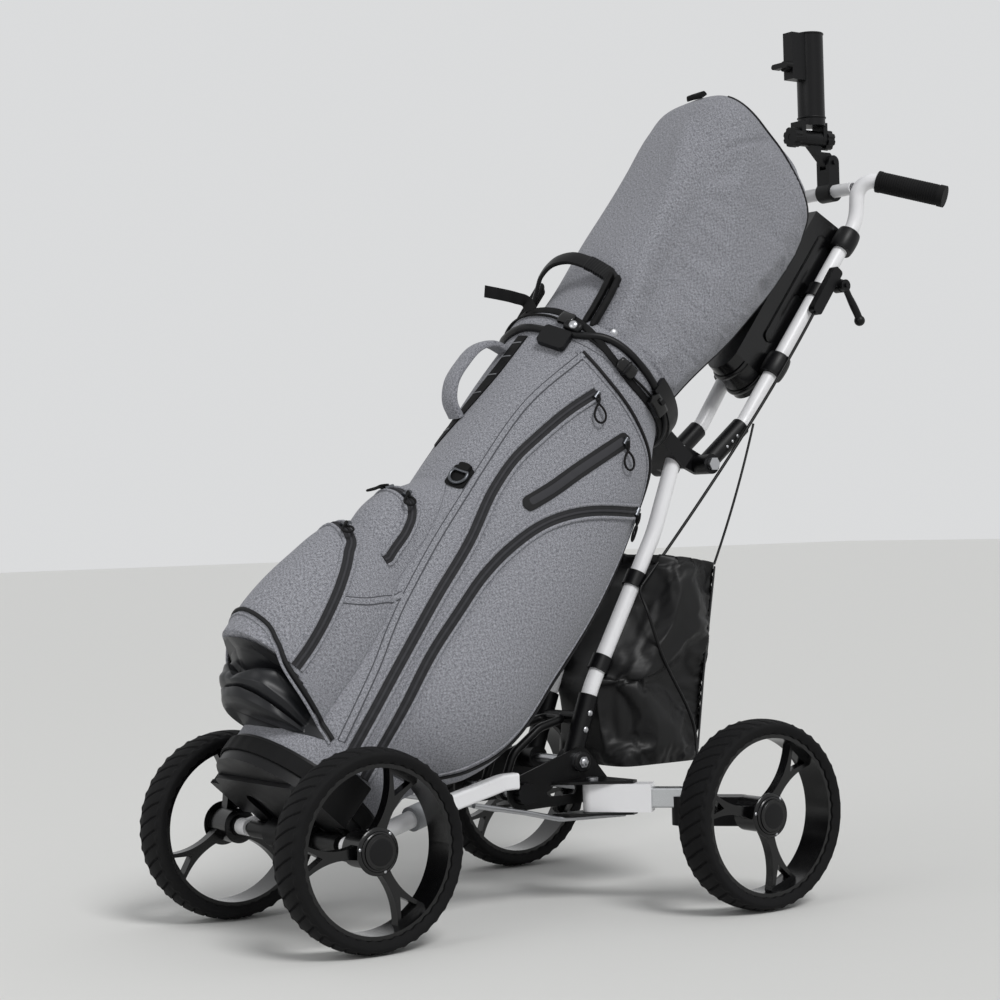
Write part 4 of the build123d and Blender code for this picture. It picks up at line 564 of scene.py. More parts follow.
def make_pillow(name, skin, low, high, node):
    """Pocket: a closed pillow between its skin and 3 mm under the bag's, from low to high along the bag.

    Its front stands 1 mm off its skin, and is tucked 1 mm under where it meets the bag's skin.
    """
    u = (low + high) / 2 - (high - low) / 2 * np.cos(np.linspace(0, math.pi, 90))
    scan = np.linspace(-1.7, 1.7, 500)
    apart = skin(scan[None], u[:, None]) - bag_skin(scan[None], u[:, None]) > PARTED
    apart[[0, -1]] = apart[[1, -2]]
    first, last = scan[apart.argmax(1)], scan[len(scan) - 1 - apart[:, ::-1].argmax(1)]
    share = (1 - np.cos(np.linspace(0, math.pi, 110))) / 2
    turn = first[:, None] + (last - first)[:, None] * share[None]
    u = np.broadcast_to(u[:, None], turn.shape)
    parted = skin(turn, u) - bag_skin(turn, u) > PARTED
    front = skin_points(skin, turn, u, np.where(parted, 1.0, -1.0))
    back = skin_points(bag_skin, turn, u, -3.0)[:, ::-4]
    piece = make_piece(name, np.hstack([front, back]), heather, loop=True, ends=True)
    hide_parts(node)


def make_pouch():
    """Lower pouch: nylon from the mouth down, sunk behind the lip, then a lit fold and an overhung flap.

    The depth is a row of straight runs over the share from mouth to foot, and the place where the
    sunk part ends slants from low at the front to high at the sides.
    """
    turn = np.radians(np.linspace(-59, 59, 150))[None]
    share = np.linspace(0, 1, 90)[:, None]
    degrees = np.degrees(turn)
    high = mouth_edge(turn) - 1
    low = hermite(np.abs(degrees), (0, 20, 35, 48, 59), (74, 77, 83, 91, 97))
    u = high - share * (high - low)
    ends_at = (0.1, 0.12, 0.3, 0.55, 0.36, 0.14, 0.1, 0.1)
    turned = np.interp(degrees, (-60, -30, -12, 0, 10, 18, 30, 60), ends_at)
    waved = share + 0.025 * np.sin(6 * turn + 1.2) * np.sin(share * math.pi)
    sunk = waved / turned * 0.46
    lit = 0.46 + (waved - turned) / (0.72 - turned) * 0.2
    hung = 0.66 + (waved - 0.72) / 0.28 * 0.34
    nominal = np.where(waved < turned, sunk, np.where(waved < 0.72, lit, hung))
    runs = (0, 0.04, 0.26, 0.4, 0.48, 0.6, 0.64, 0.68, 0.72, 0.9, 0.96, 1)
    depth = np.interp(nominal, runs, (-2, -26, -42, -38, -20, -9, -10, -21, -8, -2, -5, -18))
    depth = depth * (1 - 0.75 * ease(-degrees, 6, 24))
    crumple = 1.2 * np.sin(11 * turn + 16 * share) + 0.8 * np.sin(23 * turn - 9 * share)
    crumple = crumple * np.sin(share * math.pi)
    base = np.maximum(pocket_reach(turn, u, POUCH), bag_skin(turn, u))
    inside = ease(-np.abs(turn), -math.radians(59), -math.radians(52))
    reach = bag_skin(turn, u) + np.maximum(base - bag_skin(turn, u) + depth + crumple, 1) * inside + 1
    front = bag_place(reach * np.sin(turn), u, reach * np.cos(turn))
    back = skin_points(bag_skin, np.broadcast_to(turn, u.shape), u, -3.0)[:, ::-5]
    wall = np.hstack([front, back])
    # The pouch's nylon is lifted to dark grey as painted sheen
    piece = make_piece("lower_pouch_nylon", wall, pouch_satin_painted_sheen, loop=True, ends=True)
    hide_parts("lower_pouch")


def make_zip(name, skin, control, width=17):
    """Zip: flat tape, raised coil down its middle, and a rolled canvas lip on each side of it."""
    path, out = lay(skin, control, 120)
    make_bar(name + "_tape", path, flat_bar(width, 1.8), out, zip_tape)
    make_bar(name + "_coil", path, flat_bar(5, 3.0, 0.8), out, zip_coil)
    for word, side in EDGES:
        lip = round_bar(2.8, 8) + [side * (width / 2 + 1.6), 1.2]
        make_bar(f"{name}_lip_{word}", path, lip, out, heather)


def make_seam(name, skin, control):
    """Felled seam: a low raised strip of canvas, with a sunk line of stitches along each edge."""
    path, out = lay(skin, control, 100)
    make_bar(name, path, flat_bar(9, 1.3, 0.5), out, heather)
    for word, side in EDGES:
        # Stitches in thread darker than the canvas: painted shade along the seam's edges
        line = round_bar(0.9, 6) + [side * 5.2, 0.5]
        make_bar(f"{name}_stitch_{word}", path, line, out, seam_thread_painted_shade)


def make_piping(name, skin, control, radius, finish):
    """Round piping half sunk along a line on a skin."""
    path, out = lay(skin, control, 140)
    make_bar(name, path, round_bar(radius, 10) + [0, radius * 0.5], out, finish)


def round_ends(points, path, radius):
    """Bar whose width shrinks like a half circle over the last radius at each end."""
    run = run_along(path)
    left = np.clip(np.minimum(run, run[-1] - run) / radius, 0, 1)
    width = np.sqrt(np.maximum(1 - (1 - left) ** 2, 0.02))[:, None, None]
    middle = points.mean(axis=1, keepdims=True)
    return middle + (points - middle) * width


def make_tab(name, path, profile, out, finish, radius, body="golf_bag"):
    """Closed bar whose ends are rounded to that radius."""
    bar = round_ends(sweep(path, profile, out), path, radius)
    make_piece(name, bar, finish, body, loop=True, ends=True)


def make_patch(name, control, profile, finish, radius):
    """Flat bar with rounded ends, laid on the bag's skin."""
    path, out = lay(bag_skin, control, 60)
    make_tab(name, path, profile, out, finish, radius)


def make_puller(name, skin, turn, u, length=44):
    """Zip puller: a metal slider on the zip, and a cord that crosses itself and opens into a loop below."""
    path, out = lay(skin, stretch(turn, u, up=6), 9)
    make_bar(name + "_slider", path, flat_bar(10, 6, 1), out, gunmetal)
    eye, out = path[4] + 6 * out[4], out[4]
    down = unit(np.array([0, 0, -1.0]) + out[2] * out)
    across = np.cross(out, down)
    reach = np.array([0, 0.16, 0.32, 0.52, 0.75, 0.93, 1, 0.93, 0.75, 0.52, 0.32, 0.16]) * length
    wide = np.array([1.2, 1.8, -1.2, -6.5, -9, -6, 0, 6, 9, 6.5, 1.2, -1.8]) * min(1, length / 38)
    lift = np.array([1.5, 2.5, 3, 1.5, 1, 1, 1, 1, 1, 1.5, -0.5, 0])
    ring = eye + wide[:, None] * across + reach[:, None] * down + lift[:, None] * out
    ring = through(np.vstack([ring, ring[:1]]), 73)[:-1]
    make_hoop(name + "_loop", ring, round_bar(1.8, 8), out, shock_cord)


def make_button(name, place, out, radius, height, finish, body="golf_bag"):
    """Domed button: circles that shrink like a quarter ellipse as they rise from the place along out."""
    out = unit(np.array(out, float))
    first = unit(np.cross(out, [0.3, 0.5, 0.8]))
    second = np.cross(out, first)
    angle = np.linspace(0, math.pi / 2 - 0.05, 8)
    circle = round_bar(1, 20)
    flat = circle[:, :1] * first + circle[:, 1:] * second
    points = radius * np.cos(angle)[:, None, None] * flat + height * np.sin(angle)[:, None, None] * out
    make_piece(name, np.array(place) + points, finish, body, loop=True, ends=True)


make_canvas()
make_pillow("ball_pocket_canvas", ball_skin, 94, 434, "ball_pocket")
make_pillow("small_pocket_canvas", small_form, 334, 528, "front_pocket")
make_pouch()

# Lines on the bag's near side: turn in degrees, then u
LONG_ZIP = [(71, 771), (64, 724), (57, 658), (53, 609), (53, 549)]
LONG_ZIP += [(59, 459), (62, 355), (66, 258), (70, 170), (74, 84)]
SIDE_ZIP = [(135, 687), (119, 650), (105, 611), (91, 555), (82, 490)]
SIDE_ZIP += [(78, 428), (78, 357), (79, 291), (84, 200), (90, 84)]
PANEL_SEAM = [(51, 813), (39, 698), (38, 565), (39, 521), (40.8, 430), (44.5, 351), (46, 324)]
PANEL_SEAM += [(50, 276), (55, 229), (59.3, 174), (62.8, 124), (64, 106)]
REAR_PIPING = [(50, 816), (73, 799), (100, 785), (125, 762), (138, 725)]
REAR_PIPING += [(143, 680), (145, 560), (145, 400), (142, 260), (134, 165)]
for word, side in SIDES:
    mirrored = np.array([side, 1])
    make_zip("long_zip_" + word, bag_skin, LONG_ZIP * mirrored)
    make_zip("side_zip_" + word, bag_skin, SIDE_ZIP * mirrored)
    make_seam("panel_seam_" + word, ball_form, PANEL_SEAM * mirrored)
    make_piping("rear_piping_" + word, bag_skin, REAR_PIPING * mirrored, 2.6, binding)
    make_piping("rear_welt_" + word, bag_skin, (np.array(REAR_PIPING) - [4, 5]) * mirrored, 1.6, heather)
    make_puller("long_zip_puller_" + word, bag_skin, 72 * side, 766)
    make_puller("side_zip_puller_" + word, bag_skin, 134 * side, 684)
BALL_ZIP = [(26.8, 149), (27, 182), (25.5, 239), (22.5, 287), (16.8, 335), (12, 361), (5, 374)]
make_zip("ball_zip", ball_form, arch_over(BALL_ZIP, 378))
SMALL_ZIP = [(25.5, 363), (25.8, 395), (25.5, 423), (23.5, 444), (19.8, 459), (14, 470), (7, 475)]
make_zip("small_zip", small_skin, arch_over(SMALL_ZIP, 476), 15)
make_seam("small_pocket_welt", ball_form, [(26.3, 270), (32.2, 290), (37.8, 318), (43, 338)])
ARCH = [(59, 101), (39, 123), (25, 143), (18, 164), (11, 180)]
arch = arch_over(ARCH, 186)
make_piping("pouch_piping", ball_form, arch, 3.2, binding)
make_piping("pouch_piping_inner", ball_form, np.array(arch) - [0, 8], 2.2, heather)
for word, turn, u in (("near", 6, 377), ("far", -9, 374)):
    make_puller("ball_zip_puller_" + word, ball_form, turn, u, 34)
for word, turn, u in (("near", 14, 472), ("far", 0, 476)):
    make_puller("small_zip_puller_" + word, small_skin, turn, u, 34)
VALUABLES = [(74, 551), (82, 599), (89, 654), (97, 713), (103, 752)]
make_patch("valuables_welt", VALUABLES, flat_bar(24, 2.4, 0.4), binding, 11)
inner = [(75.5, 561)] + VALUABLES[1:4] + [(101, 742)]
make_patch("valuables_zip", inner, flat_bar(13, 3.2, 0.4), zip_coil, 6)
make_puller("valuables_puller", bag_skin, 102, 740)
RING_TURN, RING_U = 28.5, 543
make_patch("ring_patch", stretch(RING_TURN, RING_U, up=20), flat_bar(36, 2, 0.5), webbing, 6)


def make_ring(name, middle, out, radius, thick, finish):
    """D-ring: a round rod carried round a circle about the middle, flattened on one side."""
    first = unit(np.cross(out, RUN))
    second = np.cross(out, first)
    circle = round_bar(radius, 48)
    circle[:, 1] = np.maximum(circle[:, 1], -0.55 * radius)
    path = middle + circle[:, :1] * first + circle[:, 1:] * second
    make_hoop(name, path, round_bar(thick, 8), out, finish)


patch, patch_out = lay(bag_skin, stretch(RING_TURN, RING_U, up=2), 3)
make_ring("patch_ring", patch[1] + 5 * patch_out[1], patch_out[1], 14, 2.6, gunmetal)
make_patch("ring_tab", stretch(RING_TURN, RING_U + 15, up=8), flat_bar(24, 7, 1.5), webbing, 4)

# Webbing, collar and handles of the bag


def make_band(name, skin, control, profile, finish, lift=1.0):
    """Closed band round the bag, alike on both sides: u follows control points of (turn in degrees, u)."""
    turn = np.radians(np.linspace(-180, 180, 241)[:-1])
    degrees, height = np.array(control, float).T
    u = hermite(np.abs(np.degrees(turn)), degrees, height)
    path = skin_points(skin, turn, u, lift)
    out = np.sin(turn)[:, None] * LEFT + np.cos(turn)[:, None] * OUT
    return make_hoop(name, path, profile, out, finish)


def make_collar():
    """Collar: a ring of canvas that swells over the bag's mouth, with a flat lip turned in to the hood."""
    turn, u = np.meshgrid(full_turn(180), np.linspace(826, CUFF_U, 18))
    outside = skin_points(collar_skin, turn, u)
    inside = skin_points(collar_skin, turn[[-1, 0]], u[[-1, 0]], -30.0)
    wall = np.vstack([outside, inside])
    piece = make_piece("collar_canvas", wall, heather, loop=True, ring=True)
    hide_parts("bag_cuff")


make_collar()
ROLL_LINE = [(0, 829), (30, 828), (44, 836), (56, 850), (87, 850), (112, 840), (180, 836)]
STRAP_LINE = [(0, 866), (20, 864), (41, 853), (68, 830), (84, 822), (100, 822), (125, 826), (180, 826)]
CORD_LINE = [(0, 852), (20, 850), (45, 838), (75, 828), (95, 830), (125, 836), (180, 836)]
make_band("collar_roll", collar_skin, ROLL_LINE, round_bar(6, 12), satin, 2)
upper_strap = make_band("collar_strap", collar_skin, STRAP_LINE, flat_bar(12, 2.6, 0.6), webbing)
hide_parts("bag_straps")
make_band("collar_cord", collar_skin, CORD_LINE, round_bar(2, 8), shock_cord, 3)
level = [(0, 42), (90, 42), (180, 42)]
base_strap = make_band("base_strap", bag_skin, level, flat_bar(24, 3, 0.4), webbing, 3.4)


def make_loop_handle():
    """Moulded loop: a flat bar from the near pad over the front to the far pad, ribbed at its near end."""
    bridge = [(90, 940, 104), (84, 954, 112), (60, 965, 124), (30, 972, 138), (0, 973, 149)]
    bridge += [(-30, 962, 153), (-50, 944, 146), (-62, 922, 130), (-70, 895, 116), (-74, 869, 108)]
    route = through(bridge, 160)
    path = bag_place(*route.T)
    out = unit(route[:, :1] / 92 * LEFT * 0.6 + OUT * 0.9)
    ribs = 1 + 0.12 * (np.sin(np.arange(len(route)) * 1.9) > 0) * (route[:, 0] > 34) * (route[:, 0] < 80)
    bar = sweep(path, flat_bar(24, 6, 1) - [0, 3], out)
    bar = path[:, None] + (bar - path[:, None]) * ribs[:, None, None]
    piece = make_piece("loop_handle", bar, satin, loop=True, ends=True)
    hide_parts("cuff_handle")
    for word, side in SIDES:
        line = through([(91 * side, 858, 100), (92 * side, 905, 104), (89 * side, 960, 110)], 40)
        facing_out = unit(0.75 * side * LEFT + 0.66 * OUT)
        for part, shift in (("front", 6.2), ("rear", -6.2)):
            leg = bag_place(*line.T) + shift * unit(np.cross(facing_out, RUN))
            make_tab(f"handle_pad_{part}_{word}", leg, flat_bar(12, 10, 2.5), facing_out, webbing, 7)


def make_carry_handle():
    """Grey carry handle: a thick strap bowed out between two places on the bag's front."""
    bow = [(652, 134), (662, 158), (684, 174), (722, 179), (760, 174), (782, 158), (792, 132)]
    route = through([(-28, u, w) for u, w in bow], 90)
    slope = unit(np.gradient(route, axis=0))
    out = slope[:, 1:2] * OUT - slope[:, 2:3] * RUN
    strap = flat_bar(34, 8, 2) - [0, 4]
    piece = make_bar("carry_handle_strap", bag_place(*route.T), strap, out, heather)
    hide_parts("carry_handle")


make_loop_handle()
make_carry_handle()
DAISY = [(2, 815), (-2, 726), (-10, 669), (-20, 622), (-24, 606)]
path, out = lay(bag_skin, DAISY, 90)
make_bar("daisy_webbing", path, flat_bar(26, 2, 0.3), out, webbing)
TAIL = [(-22, 872, 139), (-30, 880, 150), (-30, 870, 170), (-30, 853, 196), (-32, 838, 218)]
tail = bag_place(*through(TAIL, 40).T)
make_bar("strap_tail", tail, flat_bar(19, 2.4, 0.3), (0.81, -0.58, 0.1), webbing)


COLLAR_RADIUS = 144


def make_clip(name, turn, u, length, width, thick, finish):
    """Clip or buckle: a crowned block that follows the collar's curve over its length."""
    reach = math.degrees(length / 2 / COLLAR_RADIUS)
    path, out = lay(collar_skin, stretch(turn, u, reach), 14)
    block = sweep(path + 2 * out, flat_bar(width, thick, 1.5), out)
    make_piece(name, round_ends(block, path, 4), finish, loop=True, ends=True)
    return path[7] + (thick + 3) * out[7], out[7]


place, out = make_clip("collar_clip", 37, 843, 30, 18, 8, satin)
make_button("collar_clip_button", place, out, 7, 3.5, zinc)
make_clip("collar_clip_frame", 30, 852, 26, 24, 5, gloss)
make_clip("collar_buckle", 77, 832, 34, 22, 7, gloss)
make_clip("collar_buckle_bar", 77, 832, 8, 26, 10, satin)
make_clip("collar_latch", 108, 832, 40, 26, 11, gloss)
make_clip("collar_latch_lever", 106, 836, 14, 14, 16, satin)
# Bar tacks along the daisy chain, in a lighter thread that paints its highlights
for number, u in enumerate((800, 772, 735, 700, 660, 632)):
    turn = np.interp(u, *np.array(DAISY[::-1]).T[::-1])
    row, row_out = lay(bag_skin, stretch(turn, u, 4.5), 12)
    make_bar(f"bar_tack_{number}", row + 2.2 * row_out, flat_bar(2.4, 0.8), row_out, tack_thread_painted_highlight)

# Cloth

CLOTH_FRAMES = 20


def settle(piece, held, growth, pressure, cap):
    """Short cloth pass without gravity: the cloth grows by a share and is pressed from inside.

    Held points stay, and no point moves further than cap millimetres.
    """
    mesh = piece.data
    piece.vertex_groups.new(name="held").add(np.flatnonzero(held).tolist(), 1.0, "REPLACE")
    cloth = piece.modifiers.new("cloth", "CLOTH")
    cloth.settings.vertex_group_mass = "held"
    cloth.settings.effector_weights.gravity = 0
    cloth.settings.use_pressure = True
    cloth.settings.uniform_pressure_force = pressure
    cloth.settings.shrink_min = -growth
    cloth.settings.bending_stiffness = 0.3
    cloth.point_cache.frame_end = CLOTH_FRAMES
    start = np.zeros(3 * len(mesh.vertices))
    mesh.vertices.foreach_get("co", start)
    moved = np.zeros_like(start)
    for moment in range(1, CLOTH_FRAMES + 1):
        scene.frame_set(moment)
    settled = piece.evaluated_get(bpy.context.evaluated_depsgraph_get()).data
    settled.vertices.foreach_get("co", moved)
    shift = (moved - start).reshape(-1, 3)
    reach = np.linalg.norm(shift, axis=1, keepdims=True)
    shift *= np.minimum(1, cap / 1000 / np.maximum(reach, 1e-9))
    piece.modifiers.clear()
    piece.vertex_groups.clear()
    scene.frame_set(1)
    mesh.vertices.foreach_set("co", start + shift.ravel())
    mesh.update()


STORE_Z = (198, 330, 505)


def store_place(turn, z, shrink=1.0):
    """Storage bag's wall: a rounded box whose front leans back over a knee and whose rear leans out."""
    front = np.interp(z, STORE_Z, (12.4, 7.4, 107.7))
    rear = np.interp(z, STORE_Z[::2], (173.4, 219.7))
    share = square_share(turn)
    x = 91 * np.sin(turn) * share * shrink
    y = (front + rear) / 2 + (rear - front) / 2 * np.cos(turn) * share * shrink
    return np.stack(np.broadcast_arrays(x, y, z), axis=-1)


def make_storage_bag():
    """Storage bag: one wall from the floor's middle to the rim, settled as slack cloth, then thickened."""
    rows, floor_rows, columns = 76, 7, 180
    turn = full_turn(columns)[None]
    height = np.linspace(0, 1, rows)[:, None]
    lift = 0.5 - 0.5 * np.cos(turn)
    z = 199 + height * (303 + 22 * lift)
    fold = 3 * np.sin(5 * turn + 9 * height) * np.sin(math.pi * height)
    fold = fold + 4 * np.sin(2 * turn - 7 * height + 1)
    inset = 1 - 0.02 - 0.008 * fold * np.sin(math.pi * height)
    wall = store_place(turn, np.minimum(z, STORE_Z[2]), inset)
    wall[..., 2] = z
    inwards = np.linspace(0.05, 0.93, floor_rows)[:, None]
    floor = store_place(turn, np.full((floor_rows, 1), 199.0), inwards)
    piece = make_piece("storage_bag_cloth", np.vstack([floor, wall])[:, ::-1], nylon, "base", loop=True)
    held = np.zeros((floor_rows + rows, columns), bool)
    held[: floor_rows + 1] = True
    held[-1:, ::12] = True
    held[:, np.abs(np.abs(np.degrees(turn[0, ::-1] + math.pi) % 360 - 180) - 45) < 3] = True
    settle(piece, held.ravel(), 0.07, 0.6, 13)
    thick = piece.modifiers.new("wall", "SOLIDIFY")
    thick.thickness = 0.002
    thick.offset = -1
    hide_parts("storage_bag")


make_storage_bag()
rung = np.arange(30)
lace = store_place(np.radians(45 + 5.5 * (-1.0) ** rung), np.linspace(496, 262, 30))
make_bar("storage_bag_lacing", lace, round_bar(1.3, 6), (0.7, 0.7, 0), shock_cord, "base")
seam_line = store_place(np.full(40, np.radians(45.0)), np.linspace(500, 215, 40), 0.99)
make_bar("storage_bag_binding", seam_line, flat_bar(16, 2, 0.6), (0.7, 0.7, 0), binding, "base")

# Hood

# Hood's height, then its sections: rise, half x, front w, rear w and the power of the rounded box
HOOD_TOP = 502.0
HOOD = np.array([
    (0.3, 122, 118, -118, 2.2), (82, 115, 112, -124, 2.8), (211, 110, 118, -144, 3.6),
    (336, 106, 129, -157, 4.2), (422, 103, 134, -145, 4.6), (474, 98, 132, -124, 4.2),
    (502, 90, 120, -88, 3.2),
])
# Piped edge between the hood's sides and its rear: turn in degrees, then rise
HOOD_EDGE = [(148, 8), (151, 168), (153, 293), (150, 397), (142, 453), (128, 480), (104, 499)]
HOOD_EDGE += [(70, 501), (30, 501)]
# Line of the hood's near front corner: rise, then turn in degrees
CORNER = ((9, 57), (70, 53), (181, 40), (298, 30), (457, 6))
# Turn in radians from that corner to the fold behind it, and the crease under the top: degrees, then rise
BEHIND_CORNER = 0.32
TOP_CREASE = ((48, 397), (56, 435), (69, 472), (89, 498))


def hood_place(turn, rise, shrink, lift):
    """Hood's section at that rise: x and w follow a rounded box |x/a|^n + |w/b|^n = 1 about its middle.

    Towards the top the sides drop by 11 mm times the square of the turn's sine, and less inside the dome.
    """
    half_x, front, rear, power = (hermite(rise, HOOD[:, 0], HOOD[:, k]) for k in (1, 2, 3, 4))
    middle, half_w = (front + rear) / 2, (front - rear) / 2
    sine, cosine = np.sin(turn), np.cos(turn)
    reach = (np.abs(sine / half_x) ** power + np.abs(cosine / half_w) ** power) ** (-1 / power)
    reach = reach * shrink + lift
    drop = 11 * (shrink * sine) ** 2 * ease(rise, 400, HOOD_TOP)
    return bag_place(reach * sine, CUFF_U + rise - drop, middle + reach * cosine)


def off_corner(turn, rise):
    """Turn in radians from the hood's near front corner at that rise, between minus and plus pi."""
    line = np.radians(hermite(rise, *np.array(CORNER, float).T))
    return (turn - line + math.pi) % (2 * math.pi) - math.pi


def fold_depth(turn, rise):
    """Soft folds of the hood: slanting waves on its sides, a pinch above the cuff, a raised corner.

    A fold runs behind the corner, and a short crease under the top.
    """
    slant = np.sin(rise / 58 + 2 * turn) * np.sin(rise / 160) * 2.6
    pinch = np.sin(7 * turn + 1.0) * np.exp(-rise / 45) * 2.5
    off = off_corner(turn, rise)
    corner = 6 * np.exp(-((off / 0.11) ** 2)) * ease(-rise, -440, -330)
    corner = corner - 10 * np.exp(-(((off - BEHIND_CORNER) / 0.17) ** 2))
    degrees = np.degrees(turn) % 360
    under = (rise - np.interp(degrees, *np.array(TOP_CREASE, float).T)) / 10
    crease = -4 * np.exp(-(under**2)) * ease(degrees, 44, 54) * ease(-degrees, -88, -70)
    lines = corner * ease(rise, 10, 120) * ease(-rise, -500, -420) + crease * ease(-rise, -500, -470)
    return (slant + pinch) * ease(rise, 0.3, 25) + lines


def hood_skin(turn, rise):
    """Points on the hood's cloth at that turn and rise over the cuff."""
    return hood_place(turn, rise, 1.0, fold_depth(turn, rise))


def make_hood():
    """Hood: rounded boxes stacked from the cuff up, closed by a low dome, with soft folds in the cloth."""
    rows, dome_rows, columns = 150, 14, 200
    turn = full_turn(columns)
    rise = np.linspace(0.3, HOOD_TOP, rows)
    walls = hood_skin(turn[None], rise[:, None])
    shrink = np.cos(np.linspace(0.12, math.pi / 2 - 0.02, dome_rows))
    lip = fold_depth(turn[None], np.full((1, 1), HOOD_TOP))
    dome = hood_place(turn[None], np.full((dome_rows, 1), HOOD_TOP), shrink[:, None], lip)
    dome = dome + (8 * np.sqrt(1 - shrink**2))[:, None, None] * RUN
    piece = make_piece("hood_canvas", np.vstack([walls, dome]), heather, "hood", loop=True, ends=True)
    degrees = np.abs((np.degrees(turn) + 180) % 360 - 180)
    held = np.zeros((rows + dome_rows, columns), bool)
    held[:6] = True
    held[rows - 4 :] = True
    seam = hermite(rise, *np.array(HOOD_EDGE[:7], float).T[::-1])
    held[:rows] |= np.abs(degrees[None] - seam[:, None]) < 3
    # The front panel is lined and stays taut, and the fold behind its near corner stays in place
    off = off_corner(turn[None], rise[:, None])
    held[:rows] |= (off > -1.6) & (off < 0.04)
    held[:rows] |= (np.abs(off - BEHIND_CORNER) < 0.04) & (np.abs(rise - 225) < 165)[:, None]
    settle(piece, held.ravel(), 0.03, 0.2, 8)
    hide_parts("hood")


make_hood()
for word, side in SIDES:
    path, out = lay_on(hood_skin, np.array(HOOD_EDGE) * [side, 1], 120)
    make_bar("hood_piping_" + word, path, round_bar(2.1, 10), out, binding, "hood")
    for name, turn, rise in (("front", 58, 10), ("rear", 126, 14)):
        snap, snap_out = lay_on(hood_skin, np.array(stretch(turn, rise, 1)) * [side, 1], 3)
        make_button(f"hood_snap_{name}_{word}", snap[1] + 2 * snap_out[1], snap_out[1], 7, 4, zinc, "hood")
tab, tab_out = lay_on(hood_skin, [(-14, 496), (-6, 500), (2, 501)], 12)
make_bar("hood_tab", tab + 2 * tab_out, flat_bar(16, 7, 2), tab_out, webbing, "hood")

# Fittings


def make_sleeve(name, start, end, radius, finish, body):
    """Turned sleeve: circles along a straight axis, with a radius for each of its even steps."""
    path = np.linspace(start, end, len(radius))
    points = sweep(path, round_bar(1, 36), (0.3, -0.2, 0.9))
    points = path[:, None] + (points - path[:, None]) * np.asarray(radius)[:, None, None]
    make_piece(name, points, finish, body, loop=True, ends=True, sharp=40)


KNEE = np.array([0, 309.66, 728.84])
UP_TUBE = np.array([0.0319, 0.5990, 0.8001])
STRAIGHT, FORWARD = np.array([0, 0.5993, 0.8005]), np.array([0, -0.8005, 0.5993])


def console_place(x, along, depth):
    """Handle's knee plus x to the left, along the console's length and depth towards the bag."""
    return place_from(KNEE, STRAIGHT, FORWARD, x, along, depth)


def make_console_trim():
    """Console's trim: beads round its tray and cup, hoops under the cup, side rails and tube collars."""
    turn = full_turn(120)
    share = square_share(turn)
    tray = console_place(36 * np.sin(turn) * share, 292 + 100 * np.cos(turn) * share, -10)
    cup = console_place(31 * np.sin(turn), 112 + 31 * np.cos(turn), -10)
    for name, path in (("tray", tray), ("cup", cup)):
        make_hoop(f"console_{name}_bead", path, round_bar(2.8, 8), -FORWARD, gloss, "handle")
    bend = np.radians(np.linspace(-78, 78, 50))
    for number, depth in enumerate((4, 40)):
        reach = 40.8 - 0.0875 * (depth + 10)
        path = console_place(reach * np.sin(bend), 102.5 - reach * np.cos(bend), depth)
        out = np.sin(bend)[:, None] * LEFT - np.cos(bend)[:, None] * STRAIGHT
        make_bar(f"console_hoop_{number}", path, flat_bar(9, 2.4, 0.8), out, gloss, "handle")
    for word, side in SIDES:
        along = np.linspace(150, 372, 60)
        rail = console_place(side * (37.2 + 9 * (along - 96) / 308), along, 26)
        rounded = flat_bar(24, 3, 1.2)
        make_tab("console_rail_" + word, rail, rounded, LEFT * side, gloss, 11, "handle")
        tube = (KNEE + 53 * LEFT) * [side, 1, 1]
        for part, along in (("low", 116), ("high", 380)):
            start, end = (tube + UP_TUBE * [side, 1, 1] * (along + shift) for shift in (-19, 19))
            radius = 18 + 3 * np.sqrt(np.sin(np.linspace(0.1, math.pi - 0.1, 16)))
            make_sleeve(f"console_collar_{part}_{word}", start, end, radius, satin, "handle")


make_console_trim()
# The umbrella socket stands upright about this y
SOCKET_Y = 531.59
for name, radius, z in (("top", 22.6, 1392.2), ("foot", 23, 1250)):
    turn = full_turn(60)
    path = np.stack([radius * np.cos(turn), SOCKET_Y + radius * np.sin(turn), np.full(60, z)], axis=-1)
    make_hoop(f"socket_bead_{name}", path, round_bar(1.7, 8), (0, 0, 1), satin, "umbrella_socket")
# Radius of the hub's stepped face at even steps outwards
HUB_FACE = (33, 33, 32, 28, 28, 27.4, 25.6, 23, 23, 22)
# Left side: the grip's ends, the outer faces of the two sleeves with the way they run, and the foot bolt
GRIP = np.array([(99.5, 584.3, 1132.4), (195.5, 641.9, 1098.0)])
UPPER_SLEEVE, UPPER_RUN = np.array([68.3, 226.6, 663]), np.array([0, 0.784, 0.621])
LOWER_SLEEVE, LOWER_RUN = np.array([65.2, -57.4, 213]), np.array([0, 0.354, 0.935])
FOOT_BOLT = np.array([78.6, -57.4, 213])
# Wheels' middles: end, x and y, and the height of their axles
HUBS = ("front", 194, -515.4), ("rear", 311, 90.6)
AXLE_Z = 140
